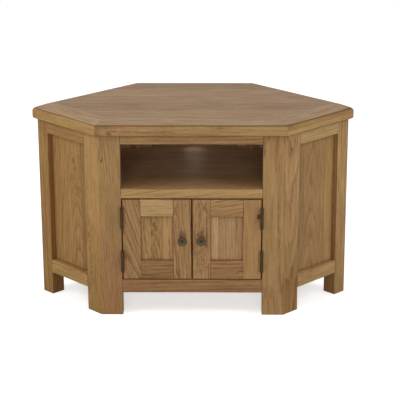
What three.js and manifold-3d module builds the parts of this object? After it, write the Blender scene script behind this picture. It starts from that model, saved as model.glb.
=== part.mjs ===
// Corner TV cabinet in solid oak, with an open bay over two framed doors.
// Millimetres, +Z up, front towards -Y. The origin is on the floor under the middle of the whole.

import * as THREE from "three";
import { mergeVertices } from "three/addons/utils/BufferGeometryUtils.js";
import Module from "manifold-3d";

const wasm = await Module();
wasm.setup();

// Plan of the body
const openingWidth = 420;
const frontPostFace = 65;
const frontPostFlank = 64;
const frontPostThickness = 40;
const sideLength = 282;
const sidePostWidth = 46;
const wallLength = 412;
const rearPostFace = 46;
const rearPostThickness = 40;
const sideTurn = Math.PI / 4;
const wallTurn = Math.PI / 2;

// Heights
const overallHeight = 600;
const topThickness = 35;
const legHeight = 72;
const frontTopRailHeight = 28;
const bayHeight = 138;
const middleRailHeight = 28;
const bottomRailHeight = 41;
const sideTopRailHeight = 40;
const wallTopRailHeight = 50;

// Top
const topOverhang = 15;
const topWallOverhang = 9;
const topBorderWidth = 80;
const topUpperRound = 5;
const topLowerRound = 4;
const topFrontCornerRound = 2;
const topRearCornerRound = 5;
const topTipUpperRound = 11;
const topTipRound = 8;
const topTipSandedRound = 20;
const topTipRunOut = 55;

// Frames and boards
const frontRailThickness = 22;
const sideRailThickness = 30;
const sidePanelRecess = 18;
const sidePanelThickness = 8;
const wallRailThickness = 22;
const wallPanelRecess = 8;
const wallPanelThickness = 6;
const grooveDepth = 9;
const tenonShoulder = 6;
const frontTenonLength = 14;
const frontTenonThickness = 8;
const shelfThickness = 20;
const bottomBoardThickness = 18;
const housingDepth = 8;
const tongueShoulder = 4;
const postEase = 2;
const railEase = 1.5;

// Cable outlet in the rear panel
const cableOutletWidth = 60;
const cableOutletAboveShelf = 62;

// Doors
const doorGap = 3;
const doorThickness = 22;
const doorStileWidth = 54;
const doorTopRailHeight = 54;
const doorBottomRailHeight = 58;
const doorPanelRecess = 8;
const doorPanelThickness = 7;
const doorEase = 1.5;

// Hinges
const hingeLength = 65;
const hingeCentreShare = 0.23;
const hingeBarrelRadius = 4.4;
const hingeBarrelProud = 0.5;
const hingeLeafThickness = 1.2;
const hingeLeafDepth = 17;
const hingeBoreRadius = 2;
const hingePinRadius = 1.7;
const hingeTipRadius = 3.2;
const hingeTipHeight = 3.5;
const knuckleCount = 5;

// Knobs and their screws
const knobRadius = 14;
const knobProjection = 25;
const knobRoseRadius = 9;
const knobRoseThickness = 2;
const knobNeckRadius = 5.5;
const knobHeadThickness = 9;
const knobDish = 1.6;
const knobScrewRadius = 2;
const knobScrewHeadRadius = 4.5;
const knobScrewHeadHeight = 2.6;
const knobScrewGrip = 10;

// Catch and strike plates
const catchWidth = 58;
const catchBodyWidth = 46;
const catchDepth = 15;
const catchHeight = 24;
const catchFlangeHeight = 4;
const strikeWidth = 16;
const strikeHeight = 24;
const strikeThickness = 1.5;
const strikeCornerRound = 2;
const strikeInset = 3.5;

// Clearances: where pieces meet, in turned frames or cuts, and the length that cuts run past
const fitGap = 0.3;
const overrun = 10;

const roundSteps = 3;
const topRoundSteps = 4;
const turnedSteps = 24;
const barrelSteps = 16;

// Heights worked out from the floor up
const bodyTop = overallHeight - topThickness;
const bayTop = bodyTop - frontTopRailHeight;
const shelfTop = bayTop - bayHeight;
const middleRailBottom = shelfTop - middleRailHeight;
const bottomRailTop = legHeight + bottomRailHeight;
const doorTop = middleRailBottom - doorGap;
const doorBottom = bottomRailTop + doorGap;
const doorWidth = (openingWidth - doorGap * 3) / 2;
const hingeAxisProud = hingeBarrelRadius + hingeBarrelProud;

const lightOak = 0xa98a5f;
const midOak = 0x9a7952;
const warmOak = 0x8c6a47;
const insideOak = 0x7a5c3d;
const pewter = 0x4a4a3e;
const bronze = 0x47372a;

function finish(color, roughness, metalness) {
  return new THREE.MeshStandardMaterial({ color, roughness, metalness });
}

function oak(color) {
  return finish(color, 0.55, 0);
}

function metal(color) {
  return finish(color, 0.45, 0.9);
}

// Solids and their meshes

function toSolid(geometry) {
  const bare = geometry.clone();
  bare.deleteAttribute("normal");
  bare.deleteAttribute("uv");
  const merged = mergeVertices(bare);
  return new wasm.Manifold(new wasm.Mesh({
    numProp: 3,
    vertProperties: new Float32Array(merged.attributes.position.array),
    triVerts: new Uint32Array(merged.index.array),
  }));
}

function toGeometry(solid) {
  const mesh = solid.getMesh();
  const geometry = new THREE.BufferGeometry();
  geometry.setAttribute("position", new THREE.BufferAttribute(mesh.vertProperties, 3));
  geometry.setIndex(new THREE.BufferAttribute(mesh.triVerts, 1));
  geometry.computeVertexNormals();
  return geometry;
}

function place(parent, name, solid, material) {
  const mesh = new THREE.Mesh(toGeometry(solid), material);
  mesh.name = name;
  parent.add(mesh);
}

function group(parent, x, y, heading = 0) {
  const made = new THREE.Group();
  made.position.set(x, y, 0);
  made.rotation.z = heading;
  parent.add(made);
  return made;
}

function extrude(outline, depth) {
  return new THREE.ExtrudeGeometry(new THREE.Shape(outline), { depth, bevelEnabled: false });
}

// A plan outline carried up from one height to another
function upright(outline, bottom, top) {
  return toSolid(extrude(outline, top - bottom).translate(0, 0, bottom));
}

// A (y, z) profile carried along x
function along(profile, from, to) {
  const geometry = extrude(profile, to - from);
  const turn = new THREE.Matrix4().makeBasis(
    new THREE.Vector3(0, 1, 0),
    new THREE.Vector3(0, 0, 1),
    new THREE.Vector3(1, 0, 0),
  );
  return toSolid(geometry.applyMatrix4(turn).translate(from, 0, 0));
}

function rectangle(left, right, low, high) {
  return [
    new THREE.Vector2(left, low),
    new THREE.Vector2(right, low),
    new THREE.Vector2(right, high),
    new THREE.Vector2(left, high),
  ];
}

function block(x0, x1, y0, y1, z0, z1) {
  return upright(rectangle(x0, x1, y0, y1), z0, z1);
}

// Outlines, all counter-clockwise

function inwardOf(direction) {
  return new THREE.Vector2(-direction.y, direction.x);
}

// Each edge moved in by its own inset, and the corners met again
function insetOutline(points, insets) {
  const count = points.length;
  const edges = points.map((point, i) => {
    const direction = points[(i + 1) % count].clone().sub(point).normalize();
    const inset = Array.isArray(insets) ? insets[i] : insets;
    return { direction, point: point.clone().addScaledVector(inwardOf(direction), inset) };
  });
  return edges.map((edge, i) => {
    const before = edges[(i + count - 1) % count];
    const apart = edge.point.clone().sub(before.point);
    const travel = apart.cross(edge.direction) / before.direction.cross(edge.direction);
    return before.point.clone().addScaledVector(before.direction, travel);
  });
}

// One corner of an outline turned into an arc, or left sharp where the radius is zero
function cornerArc(points, i, radius, steps) {
  const corner = points[i];
  if (radius === 0) {
    return [corner.clone()];
  }
  const count = points.length;
  const into = corner.clone().sub(points[(i + count - 1) % count]).normalize();
  const out = points[(i + 1) % count].clone().sub(corner).normalize();
  const turn = Math.atan2(into.cross(out), into.dot(out));
  const reach = radius * Math.tan(Math.abs(turn) / 2);
  const centre = corner.clone().addScaledVector(into, -reach)
    .addScaledVector(inwardOf(into), radius * Math.sign(turn));
  const start = corner.clone().addScaledVector(into, -reach).sub(centre);
  return Array.from({ length: steps + 1 }, (_, step) => (
    start.clone().rotateAround(new THREE.Vector2(), turn * step / steps).add(centre)
  ));
}

// Corners turned into arcs of the radii given, one for each corner or one for all
function roundedOutline(points, radii, steps = roundSteps) {
  return points.flatMap((_, i) => (
    cornerArc(points, i, Array.isArray(radii) ? radii[i] : radii, steps)
  ));
}

// The six corners of the body, from the front left one round to the side left one
function bodyOutline() {
  const frontWidth = openingWidth + frontPostFace * 2;
  const lengths = [frontWidth, sideLength, wallLength];
  const turns = [0, sideTurn, wallTurn];
  const points = [new THREE.Vector2(-frontWidth / 2, 0)];
  let heading = 0;
  lengths.forEach((length, i) => {
    heading += turns[i];
    const step = new THREE.Vector2(length, 0).rotateAround(new THREE.Vector2(), heading);
    points.push(points[i].clone().add(step));
  });
  points.slice(2).reverse().forEach((point) => points.push(new THREE.Vector2(-point.x, point.y)));
  return points;
}

const corners = bodyOutline();
const postNames = [
  "front_left_post", "front_right_post", "right_side_post",
  "rear_right_post", "rear_left_post", "left_side_post",
];

// The walls run round the body, each from its own corner to the next one
function wallAt(i) {
  const start = corners[i];
  const end = corners[(i + 1) % corners.length];
  const run = end.clone().sub(start);
  return { start, heading: Math.atan2(run.y, run.x), length: run.length() };
}

// Front, side right, wall right, rear, wall left, side left
function insetsAllRound(front, side, wall) {
  return [front, side, wall, wall, wall, side];
}

// Posts

const postFaces = [
  { before: frontPostFlank, after: frontPostFace, thickness: frontPostThickness },
  { before: frontPostFace, after: frontPostFlank, thickness: frontPostThickness },
  { before: sidePostWidth, after: sidePostWidth, thickness: sidePostWidth },
  { before: rearPostFace, after: rearPostFace, thickness: rearPostThickness },
  { before: rearPostFace, after: rearPostFace, thickness: rearPostThickness },
  { before: sidePostWidth, after: sidePostWidth, thickness: sidePostWidth },
];

// A post follows both walls at its corner, and is square where they meet at a right angle
function postOutline(i) {
  const count = corners.length;
  const { before, after, thickness } = postFaces[i];
  const corner = corners[i];
  const into = corner.clone().sub(corners[(i + count - 1) % count]).normalize();
  const out = corners[(i + 1) % count].clone().sub(corner).normalize();
  const inner = insetOutline(corners, thickness)[i];
  const endAfter = corner.clone().addScaledVector(out, after);
  const endBefore = corner.clone().addScaledVector(into, -before);
  const outline = [
    corner.clone(),
    endAfter,
    endAfter.clone().addScaledVector(inwardOf(out), thickness),
    inner,
    endBefore.clone().addScaledVector(inwardOf(into), thickness),
    endBefore,
  ];
  return outline.filter((point, k) => k === 0 || point.distanceTo(outline[k - 1]) > fitGap);
}

function postSection(i) {
  const outline = postOutline(i);
  const inner = insetOutline(corners, postFaces[i].thickness)[i];
  const square = outline.length === 4;
  const radii = outline.map((point) => (!square && point.distanceTo(inner) < fitGap ? 0 : postEase));
  return roundedOutline(outline, radii);
}

// Tool for a groove or mortise in a wall's own frame, moved to the cabinet's frame
function inWall(wall, solid) {
  return solid.rotate([0, 0, THREE.MathUtils.radToDeg(wall.heading)])
    .translate([wall.start.x, wall.start.y, 0]);
}

// Panelled walls: the sides, then the diagonal walls and the rear
const sideFrame = {
  recess: sidePanelRecess,
  panel: sidePanelThickness,
  rail: sideRailThickness,
  topRail: sideTopRailHeight,
};
const wallFrame = {
  recess: wallPanelRecess,
  panel: wallPanelThickness,
  rail: wallRailThickness,
  topRail: wallTopRailHeight,
};
const wallFrames = [null, sideFrame, wallFrame, wallFrame, wallFrame, sideFrame];

function wallGroove(i, atStart) {
  const wall = wallAt(i);
  const frame = wallFrames[i];
  const margin = atStart ? postFaces[i].after : postFaces[(i + 1) % corners.length].before;
  const [x0, x1] = atStart
    ? [margin - grooveDepth, margin + overrun]
    : [wall.length - margin - overrun, wall.length - margin + grooveDepth];
  const tool = block(
    x0, x1,
    frame.recess - fitGap, frame.recess + frame.panel + fitGap,
    legHeight + tenonShoulder - fitGap, bodyTop + overrun,
  );
  return inWall(wall, tool);
}

const frontRails = [
  { name: "front_top_rail", bottom: bayTop, top: bodyTop },
  { name: "front_middle_rail", bottom: middleRailBottom, top: shelfTop },
  { name: "front_bottom_rail", bottom: legHeight, top: bottomRailTop },
];

function frontTenonSpan(rail) {
  const middle = frontRailThickness / 2;
  return {
    low: middle - frontTenonThickness / 2,
    high: middle + frontTenonThickness / 2,
    bottom: rail.bottom + tenonShoulder,
    top: rail.top - tenonShoulder,
  };
}

function frontMortise(rail, atStart) {
  const wall = wallAt(0);
  const span = frontTenonSpan(rail);
  const [x0, x1] = atStart
    ? [frontPostFace - frontTenonLength - fitGap, frontPostFace + overrun]
    : [wall.length - frontPostFace - overrun, wall.length - frontPostFace + frontTenonLength + fitGap];
  const tool = block(
    x0, x1,
    span.low - fitGap, span.high + fitGap,
    span.bottom - fitGap, span.top + fitGap,
  );
  return inWall(wall, tool);
}

// Boards with a tongue all round below their upper face, housed in the posts

const boards = [
  {
    name: "shelf",
    insets: insetsAllRound(
      frontRailThickness,
      sidePanelRecess + sidePanelThickness,
      wallPanelRecess + wallPanelThickness,
    ),
    bottom: shelfTop - shelfThickness,
    top: shelfTop,
  },
  {
    name: "bottom_board",
    insets: insetsAllRound(frontRailThickness, sideRailThickness, wallRailThickness),
    bottom: bottomRailTop - bottomBoardThickness,
    top: bottomRailTop,
  },
];

function boardOutline(board, clearance) {
  return insetOutline(corners, board.insets.map((inset) => inset + clearance));
}

function buildBoard(board) {
  let solid = upright(boardOutline(board, fitGap), board.bottom, board.top);
  corners.forEach((_, i) => {
    const core = insetOutline(postOutline(i), housingDepth - fitGap);
    const around = insetOutline(postOutline(i), -fitGap);
    solid = solid.subtract(upright(core, board.bottom - overrun, board.top + overrun));
    solid = solid.subtract(upright(around, board.top - tongueShoulder, board.top + overrun));
  });
  return solid;
}

// The room that a board's tongue takes in post i
function housing(board, i) {
  const tongueTop = board.top - tongueShoulder;
  const outer = upright(boardOutline(board, 0), board.bottom - fitGap, tongueTop + fitGap);
  const core = insetOutline(postOutline(i), housingDepth);
  return outer.subtract(upright(core, board.bottom - overrun, board.top + overrun));
}

function buildPost(i) {
  const count = corners.length;
  const before = (i + count - 1) % count;
  let solid = upright(postSection(i), 0, bodyTop);
  if (wallFrames[before]) {
    solid = solid.subtract(wallGroove(before, false));
  } else {
    frontRails.forEach((rail) => {
      solid = solid.subtract(frontMortise(rail, false));
    });
  }
  if (wallFrames[i]) {
    solid = solid.subtract(wallGroove(i, true));
  } else {
    frontRails.forEach((rail) => {
      solid = solid.subtract(frontMortise(rail, true));
    });
  }
  boards.forEach((board) => {
    solid = solid.subtract(housing(board, i));
  });
  return solid;
}

function addPosts(parent) {
  postNames.forEach((name, i) => place(parent, name, buildPost(i), oak(midOak)));
}

// Rails

function railProfile(thickness, bottom, top) {
  return roundedOutline(rectangle(0, thickness, bottom, top), railEase);
}

function addFrontRails(parent) {
  const from = -openingWidth / 2;
  const to = openingWidth / 2;
  frontRails.forEach((rail) => {
    const span = frontTenonSpan(rail);
    const bar = along(railProfile(frontRailThickness, rail.bottom, rail.top), from + fitGap, to - fitGap);
    const tenon = block(
      from - frontTenonLength, to + frontTenonLength,
      span.low, span.high, span.bottom, span.top,
    );
    place(parent, rail.name, bar.add(tenon), oak(lightOak));
  });
}

// One panelled wall in its own frame: x runs along it, y goes in
function addPanelledWall(parent, i, prefix, cut) {
  const wall = wallAt(i);
  const frame = wallFrames[i];
  const holder = group(parent, wall.start.x, wall.start.y, wall.heading);
  const from = postFaces[i].after;
  const to = wall.length - postFaces[(i + 1) % corners.length].before;
  const panelLow = frame.recess;
  const panelHigh = frame.recess + frame.panel;
  const tongue = grooveDepth - fitGap;
  const topRailBottom = bodyTop - frame.topRail;
  const panel = block(
    from - tongue, to + tongue,
    panelLow, panelHigh,
    bottomRailTop - tongue, topRailBottom + tongue,
  );
  const rails = [
    {
      name: "top_rail",
      bottom: topRailBottom,
      top: bodyTop,
      grooveFrom: topRailBottom - overrun,
      grooveTo: topRailBottom + grooveDepth,
      tenonBottom: topRailBottom,
      tenonTop: bodyTop - tenonShoulder,
    },
    {
      name: "bottom_rail",
      bottom: legHeight,
      top: bottomRailTop,
      grooveFrom: bottomRailTop - grooveDepth,
      grooveTo: bottomRailTop + overrun,
      tenonBottom: legHeight + tenonShoulder,
      tenonTop: bottomRailTop,
    },
  ];
  rails.forEach((rail) => {
    const bar = along(railProfile(frame.rail, rail.bottom, rail.top), from + fitGap, to - fitGap);
    const tenon = block(
      from - tongue, to + tongue,
      panelLow, panelHigh, rail.tenonBottom, rail.tenonTop,
    );
    const groove = block(
      from - overrun, to + overrun,
      panelLow - fitGap, panelHigh + fitGap, rail.grooveFrom, rail.grooveTo,
    );
    place(holder, `${prefix}_${rail.name}`, bar.add(tenon).subtract(groove), oak(midOak));
  });
  const finished = cut ? panel.subtract(cut(from, to)) : panel;
  place(holder, `${prefix}_panel`, finished, oak(warmOak));
}

function cableOutlet(from, to) {
  const bore = new THREE.CylinderGeometry(
    cableOutletWidth / 2, cableOutletWidth / 2, wallRailThickness * 2, turnedSteps,
  );
  return toSolid(bore.translate((from + to) / 2, 0, shelfTop + cableOutletAboveShelf));
}

// The top: one rounded slab, sawn into a field and three mitred borders

function loft(rings) {
  const count = rings[0].length;
  const positions = rings.flatMap((ring) => ring.flatMap((point) => [point.x, point.y, point.z]));
  const index = [];
  for (let level = 0; level + 1 < rings.length; level += 1) {
    for (let i = 0; i < count; i += 1) {
      const a = level * count + i;
      const b = level * count + (i + 1) % count;
      index.push(a, b, b + count, a, b + count, a + count);
    }
  }
  const caps = THREE.ShapeUtils.triangulateShape(rings[0].map((p) => new THREE.Vector2(p.x, p.y)), []);
  const last = (rings.length - 1) * count;
  caps.forEach(([a, b, c]) => {
    index.push(a, c, b);
    index.push(last + a, last + b, last + c);
  });
  const geometry = new THREE.BufferGeometry();
  geometry.setAttribute("position", new THREE.BufferAttribute(new Float32Array(positions), 3));
  geometry.setIndex(index);
  return toSolid(geometry);
}

const topCorners = [
  { round: topFrontCornerRound },
  { round: topFrontCornerRound },
  { round: topTipRound, sanded: true },
  { round: topRearCornerRound },
  { round: topRearCornerRound },
  { round: topTipRound, sanded: true },
];

function topOutline(inset) {
  const overhangs = insetsAllRound(topOverhang, topOverhang, topWallOverhang);
  return insetOutline(corners, overhangs.map((overhang) => inset - overhang));
}

// One level of the slab's edge, given for the plain edges and for the two tips.
// The tips are sanded rounder, and run out into the plain edges on both sides of them.
function topRing(edge, tip) {
  const plain = topOutline(edge.inset);
  const sanded = topOutline(tip.inset);
  const count = topCorners.length;
  const atHeight = (point, height) => new THREE.Vector3(point.x, point.y, height);
  const runOut = (i, towards) => {
    const way = plain[towards].clone().sub(plain[i]).setLength(topTipRunOut);
    return atHeight(way.add(plain[i]), edge.height);
  };
  return topCorners.flatMap((corner, i) => {
    if (!corner.sanded) {
      return cornerArc(plain, i, corner.round, topRoundSteps).map((point) => atHeight(point, edge.height));
    }
    const round = THREE.MathUtils.lerp(corner.round, topTipSandedRound, tip.inset / topTipUpperRound);
    const arc = cornerArc(sanded, i, round, topRoundSteps).map((point) => atHeight(point, tip.height));
    return [runOut(i, (i + count - 1) % count), ...arc, runOut(i, (i + 1) % count)];
  });
}

function topSlab() {
  const angles = Array.from({ length: topRoundSteps + 1 }, (_, step) => (
    (step / topRoundSteps) * (Math.PI / 2)
  ));
  const lower = (angle) => ({
    inset: topLowerRound * (1 - Math.sin(angle)),
    height: bodyTop + topLowerRound * (1 - Math.cos(angle)),
  });
  const upper = (angle, radius) => ({
    inset: radius * (1 - Math.cos(angle)),
    height: overallHeight - radius * (1 - Math.sin(angle)),
  });
  return loft([
    ...angles.map((angle) => topRing(lower(angle), lower(angle))),
    ...angles.map((angle) => topRing(upper(angle, topUpperRound), upper(angle, topTipUpperRound))),
  ]);
}

function addTop(parent) {
  const slab = topSlab();
  const past = topOverhang + overrun;
  const inner = topBorderWidth - topOverhang;
  const outside = insetOutline(corners, insetsAllRound(-past, -past, -past));
  const fieldOutline = (inset) => insetOutline(corners, insetsAllRound(inset, inset, -past));
  const cutOut = (outline) => upright(outline, bodyTop - overrun, overallHeight + overrun);
  place(parent, "top_field", slab.intersect(cutOut(fieldOutline(inner + fitGap))), oak(midOak));
  const border = slab.subtract(cutOut(fieldOutline(inner)));
  const inside = insetOutline(corners, insetsAllRound(inner + overrun, inner + overrun, -past));
  const borders = [
    { name: "top_front_border", wall: 0, trimStart: true, trimEnd: true },
    { name: "top_right_border", wall: 1, trimStart: true, trimEnd: false },
    { name: "top_left_border", wall: 5, trimStart: false, trimEnd: true },
  ];
  const trim = fitGap / 2 / Math.cos(sideTurn / 2);
  borders.forEach(({ name, wall, trimStart, trimEnd }) => {
    const next = (wall + 1) % corners.length;
    const run = corners[next].clone().sub(corners[wall]).normalize();
    const shift = (point, on, sign) => point.clone().addScaledVector(run, on ? sign * trim : 0);
    const region = [
      shift(outside[wall], trimStart, 1),
      shift(outside[next], trimEnd, -1),
      shift(inside[next], trimEnd, -1),
      shift(inside[wall], trimStart, 1),
    ];
    place(parent, name, border.intersect(cutOut(region)), oak(lightOak));
  });
}

// Doors: each is built round its own hinge axis, with `side` 1 for a door that reaches towards +x

function spanX(side, near, far) {
  return side > 0 ? [near, far] : [-far, -near];
}

function addDoor(parent, name, side) {
  const holder = group(parent, -side * (openingWidth / 2 - doorGap / 2), -hingeAxisProud);
  const hingeEdge = doorGap / 2;
  const meetingEdge = hingeEdge + doorWidth;
  const front = hingeAxisProud;
  const back = hingeAxisProud + doorThickness;
  const panelLow = front + doorPanelRecess;
  const panelHigh = panelLow + doorPanelThickness;
  const tongue = grooveDepth - fitGap;
  const innerNear = hingeEdge + doorStileWidth;
  const innerFar = meetingEdge - doorStileWidth;
  const innerBottom = doorBottom + doorBottomRailHeight;
  const innerTop = doorTop - doorTopRailHeight;

  const stile = (near, far, grooveNear, grooveFar) => {
    const outline = roundedOutline(rectangle(...spanX(side, near, far), front, back), doorEase);
    const groove = block(
      ...spanX(side, grooveNear, grooveFar),
      panelLow - fitGap, panelHigh + fitGap,
      doorBottom + tenonShoulder - fitGap, doorTop - tenonShoulder + fitGap,
    );
    return upright(outline, doorBottom, doorTop).subtract(groove);
  };
  const knobMiddle = (innerFar + meetingEdge) / 2;
  const knobHeight = (doorTop + doorBottom) / 2;
  const knobBore = toSolid(new THREE.CylinderGeometry(
    knobScrewRadius + fitGap, knobScrewRadius + fitGap, doorThickness * 3, barrelSteps,
  ).translate(side * knobMiddle, 0, knobHeight));
  const hingeStile = stile(hingeEdge, innerNear, innerNear - grooveDepth, innerNear + overrun);
  const lockStile = stile(innerFar, meetingEdge, innerFar - overrun, innerFar + grooveDepth);
  place(holder, `${name}_hinge_stile`, hingeStile, oak(midOak));
  place(holder, `${name}_lock_stile`, lockStile.subtract(knobBore), oak(midOak));

  const rail = (bottom, top, grooveFrom, grooveTo, tenonBottom, tenonTop) => {
    const profile = roundedOutline(rectangle(front, back, bottom, top), doorEase);
    const [x0, x1] = spanX(side, innerNear + fitGap, innerFar - fitGap);
    const tenonSpan = spanX(side, innerNear - tongue, innerFar + tongue);
    const tenon = block(...tenonSpan, panelLow, panelHigh, tenonBottom, tenonTop);
    const groove = block(
      ...spanX(side, innerNear - overrun, innerFar + overrun),
      panelLow - fitGap, panelHigh + fitGap, grooveFrom, grooveTo,
    );
    return along(profile, x0, x1).add(tenon).subtract(groove);
  };
  const topRail = rail(
    innerTop, doorTop, innerTop - overrun, innerTop + grooveDepth, innerTop, doorTop - tenonShoulder,
  );
  const bottomRail = rail(
    doorBottom, innerBottom, innerBottom - grooveDepth, innerBottom + overrun,
    doorBottom + tenonShoulder, innerBottom,
  );
  place(holder, `${name}_top_rail`, topRail, oak(lightOak));
  place(holder, `${name}_bottom_rail`, bottomRail, oak(midOak));
  const panel = block(
    ...spanX(side, innerNear - tongue, innerFar + tongue),
    panelLow, panelHigh, innerBottom - tongue, innerTop + tongue,
  );
  place(holder, `${name}_panel`, panel, oak(warmOak));

  addKnob(holder, name, side * knobMiddle, knobHeight, front);
  addStrike(holder, name, side, meetingEdge, back);
  addHinges(holder, parent, name, side);
}

// Knob: a turned mushroom on a small rose, with a dished face round a button.
// Its lathe axis becomes the door's depth, so a height on the profile is a distance out.

// Shares of the way from the neck to the full radius, and of the head's thickness
const knobHeadShares = [
  [0.35, 0.1],
  [0.8, 0.3],
  [1, 0.55],
  [1, 0.72],
  [0.88, 0.94],
  [0.7, 1],
];

// Shares of the full radius, and of the depth of the dish
const knobDishShares = [
  [0.56, 0.7],
  [0.42, 1],
  [0.3, 1],
  [0.2, 0.45],
  [0, 0.3],
];

function knobProfile() {
  const boreRadius = knobScrewRadius + fitGap;
  const boreDepth = knobScrewGrip + fitGap;
  const headBack = knobProjection - knobHeadThickness;
  const head = knobHeadShares.map(([wide, out]) => [
    THREE.MathUtils.lerp(knobNeckRadius, knobRadius, wide),
    headBack + knobHeadThickness * out,
  ]);
  const dish = knobDishShares.map(([wide, deep]) => [
    knobRadius * wide,
    knobProjection - knobDish * deep,
  ]);
  const points = [
    [0, boreDepth],
    [boreRadius, boreDepth],
    [boreRadius, 0],
    [knobRoseRadius, 0],
    [knobRoseRadius, knobRoseThickness],
    [knobNeckRadius, knobRoseThickness * 2],
    [knobNeckRadius, headBack],
    ...head,
    ...dish,
  ];
  return points.map(([radius, out]) => new THREE.Vector2(radius, -out));
}

function knobScrewProfile() {
  const headBack = -doorThickness - knobScrewHeadHeight;
  return [
    [0, knobScrewGrip],
    [knobScrewRadius, knobScrewGrip],
    [knobScrewRadius, -doorThickness],
    [knobScrewHeadRadius, -doorThickness],
    [knobScrewHeadRadius, -doorThickness - knobScrewHeadHeight / 2],
    [knobScrewHeadRadius - knobScrewHeadHeight / 2, headBack],
    [0, headBack],
  ].map(([radius, out]) => new THREE.Vector2(radius, -out));
}

function addKnob(parent, name, x, z, front) {
  const pieces = [
    { suffix: "knob", profile: knobProfile().reverse(), colour: pewter, steps: turnedSteps },
    { suffix: "knob_screw", profile: knobScrewProfile(), colour: bronze, steps: barrelSteps },
  ];
  pieces.forEach(({ suffix, profile, colour, steps }) => {
    const solid = toSolid(new THREE.LatheGeometry(profile, steps).translate(x, front, z));
    place(parent, `${name}_${suffix}`, solid, metal(colour));
  });
}

function addStrike(parent, name, side, meetingEdge, back) {
  const [x0, x1] = spanX(side, meetingEdge - strikeInset - strikeWidth, meetingEdge - strikeInset);
  const top = doorTop - strikeInset;
  const outline = roundedOutline(rectangle(x0, x1, -top, strikeHeight - top), strikeCornerRound);
  const plate = extrude(outline, strikeThickness);
  const turn = new THREE.Matrix4().makeBasis(
    new THREE.Vector3(1, 0, 0),
    new THREE.Vector3(0, 0, -1),
    new THREE.Vector3(0, 1, 0),
  );
  place(parent, `${name}_strike`, toSolid(plate.applyMatrix4(turn).translate(0, back, 0)), metal(bronze));
}

function addCatch(parent) {
  const front = doorThickness + strikeThickness + fitGap;
  const shelfBottom = shelfTop - shelfThickness;
  const profile = [
    new THREE.Vector2(front, shelfBottom - catchHeight),
    new THREE.Vector2(front + catchDepth, shelfBottom - catchHeight),
    new THREE.Vector2(front + catchDepth, shelfBottom),
    new THREE.Vector2(front, shelfBottom),
  ];
  const section = roundedOutline(profile, [railEase, railEase, 0, 0]);
  const body = along(section, -catchBodyWidth / 2, catchBodyWidth / 2);
  const flange = block(
    -catchWidth / 2, catchWidth / 2, front, front + catchDepth,
    shelfBottom - catchFlangeHeight, shelfBottom,
  );
  place(parent, "door_catch", body.add(flange), metal(bronze));
}

// Hinges: two leaves in the door gap, their knuckles in turn round one pin

function circle(radius, steps) {
  return Array.from({ length: steps }, (_, i) => (
    new THREE.Vector2(radius, 0).rotateAround(new THREE.Vector2(), (i / steps) * Math.PI * 2)
  ));
}

// Each leaf lies against its own edge of the gap: -1 on the low x side, 1 on the high x side
function leafSpan(leafSide) {
  return spanX(leafSide, doorGap / 2 - hingeLeafThickness, doorGap / 2);
}

function knuckle(leafSide, bottom, top) {
  const barrel = upright(circle(hingeBarrelRadius, barrelSteps), bottom, top);
  const strap = block(
    ...leafSpan(leafSide),
    hingeBoreRadius, hingeAxisProud + hingeLeafThickness, bottom, top,
  );
  const bore = upright(circle(hingeBoreRadius, barrelSteps), bottom - overrun, top + overrun);
  return barrel.add(strap).subtract(bore);
}

function hingeLeaf(bottom, leafSide, knuckles) {
  const height = hingeLength / knuckleCount;
  const plate = block(
    ...leafSpan(leafSide),
    hingeAxisProud + fitGap, hingeAxisProud + hingeLeafDepth, bottom, bottom + hingeLength,
  );
  return knuckles.reduce((leaf, k) => {
    const low = bottom + k * height + (k === 0 ? 0 : fitGap / 2);
    const high = bottom + (k + 1) * height - (k === knuckleCount - 1 ? 0 : fitGap / 2);
    return leaf.add(knuckle(leafSide, low, high));
  }, plate);
}

// Shares of the tip's radius and of its height
const hingeTipShares = [
  [1, 0],
  [1, 0.4],
  [0.5, 0.8],
  [0, 1],
];

function hingePin(bottom) {
  const top = bottom + hingeLength;
  const tip = (end, out) => hingeTipShares.map(([wide, high]) => [
    hingeTipRadius * wide,
    end + out * (fitGap + hingeTipHeight * high),
  ]);
  const profile = [
    ...tip(bottom, -1).reverse(),
    [hingePinRadius, bottom - fitGap],
    [hingePinRadius, top + fitGap],
    ...tip(top, 1),
  ].map(([radius, z]) => new THREE.Vector2(radius, z));
  return toSolid(new THREE.LatheGeometry(profile, barrelSteps).rotateX(Math.PI / 2));
}

function addHinges(door, carcass, name, side) {
  const frame = group(carcass, door.position.x, door.position.y);
  const inset = (doorTop - doorBottom) * hingeCentreShare;
  const places = [
    { level: "upper", bottom: doorTop - inset - hingeLength / 2 },
    { level: "lower", bottom: doorBottom + inset - hingeLength / 2 },
  ];
  const all = Array.from({ length: knuckleCount }, (_, k) => k);
  places.forEach(({ level, bottom }) => {
    const frameLeaf = hingeLeaf(bottom, -side, all.filter((k) => k % 2 === 0));
    const doorLeaf = hingeLeaf(bottom, side, all.filter((k) => k % 2 === 1));
    place(frame, `${name}_${level}_hinge_frame_leaf`, frameLeaf, metal(bronze));
    place(frame, `${name}_${level}_hinge_pin`, hingePin(bottom), metal(bronze));
    place(door, `${name}_${level}_hinge_door_leaf`, doorLeaf, metal(bronze));
  });
}

// The whole cabinet, with its depth centred on the origin

function buildCabinet() {
  const cabinet = new THREE.Group();
  const knobFront = -knobProjection;
  const rearEdge = corners[3].y + topWallOverhang;
  const body = group(cabinet, 0, -(knobFront + rearEdge) / 2);
  addTop(body);
  addPosts(body);
  addFrontRails(body);
  addPanelledWall(body, 1, "right_side");
  addPanelledWall(body, 5, "left_side");
  addPanelledWall(body, 2, "right_wall");
  addPanelledWall(body, 4, "left_wall");
  addPanelledWall(body, 3, "rear", cableOutlet);
  boards.forEach((board) => place(body, board.name, buildBoard(board), oak(insideOak)));
  addDoor(body, "left_door", 1);
  addDoor(body, "right_door", -1);
  addCatch(body);
  return cabinet;
}

export default buildCabinet();
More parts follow.
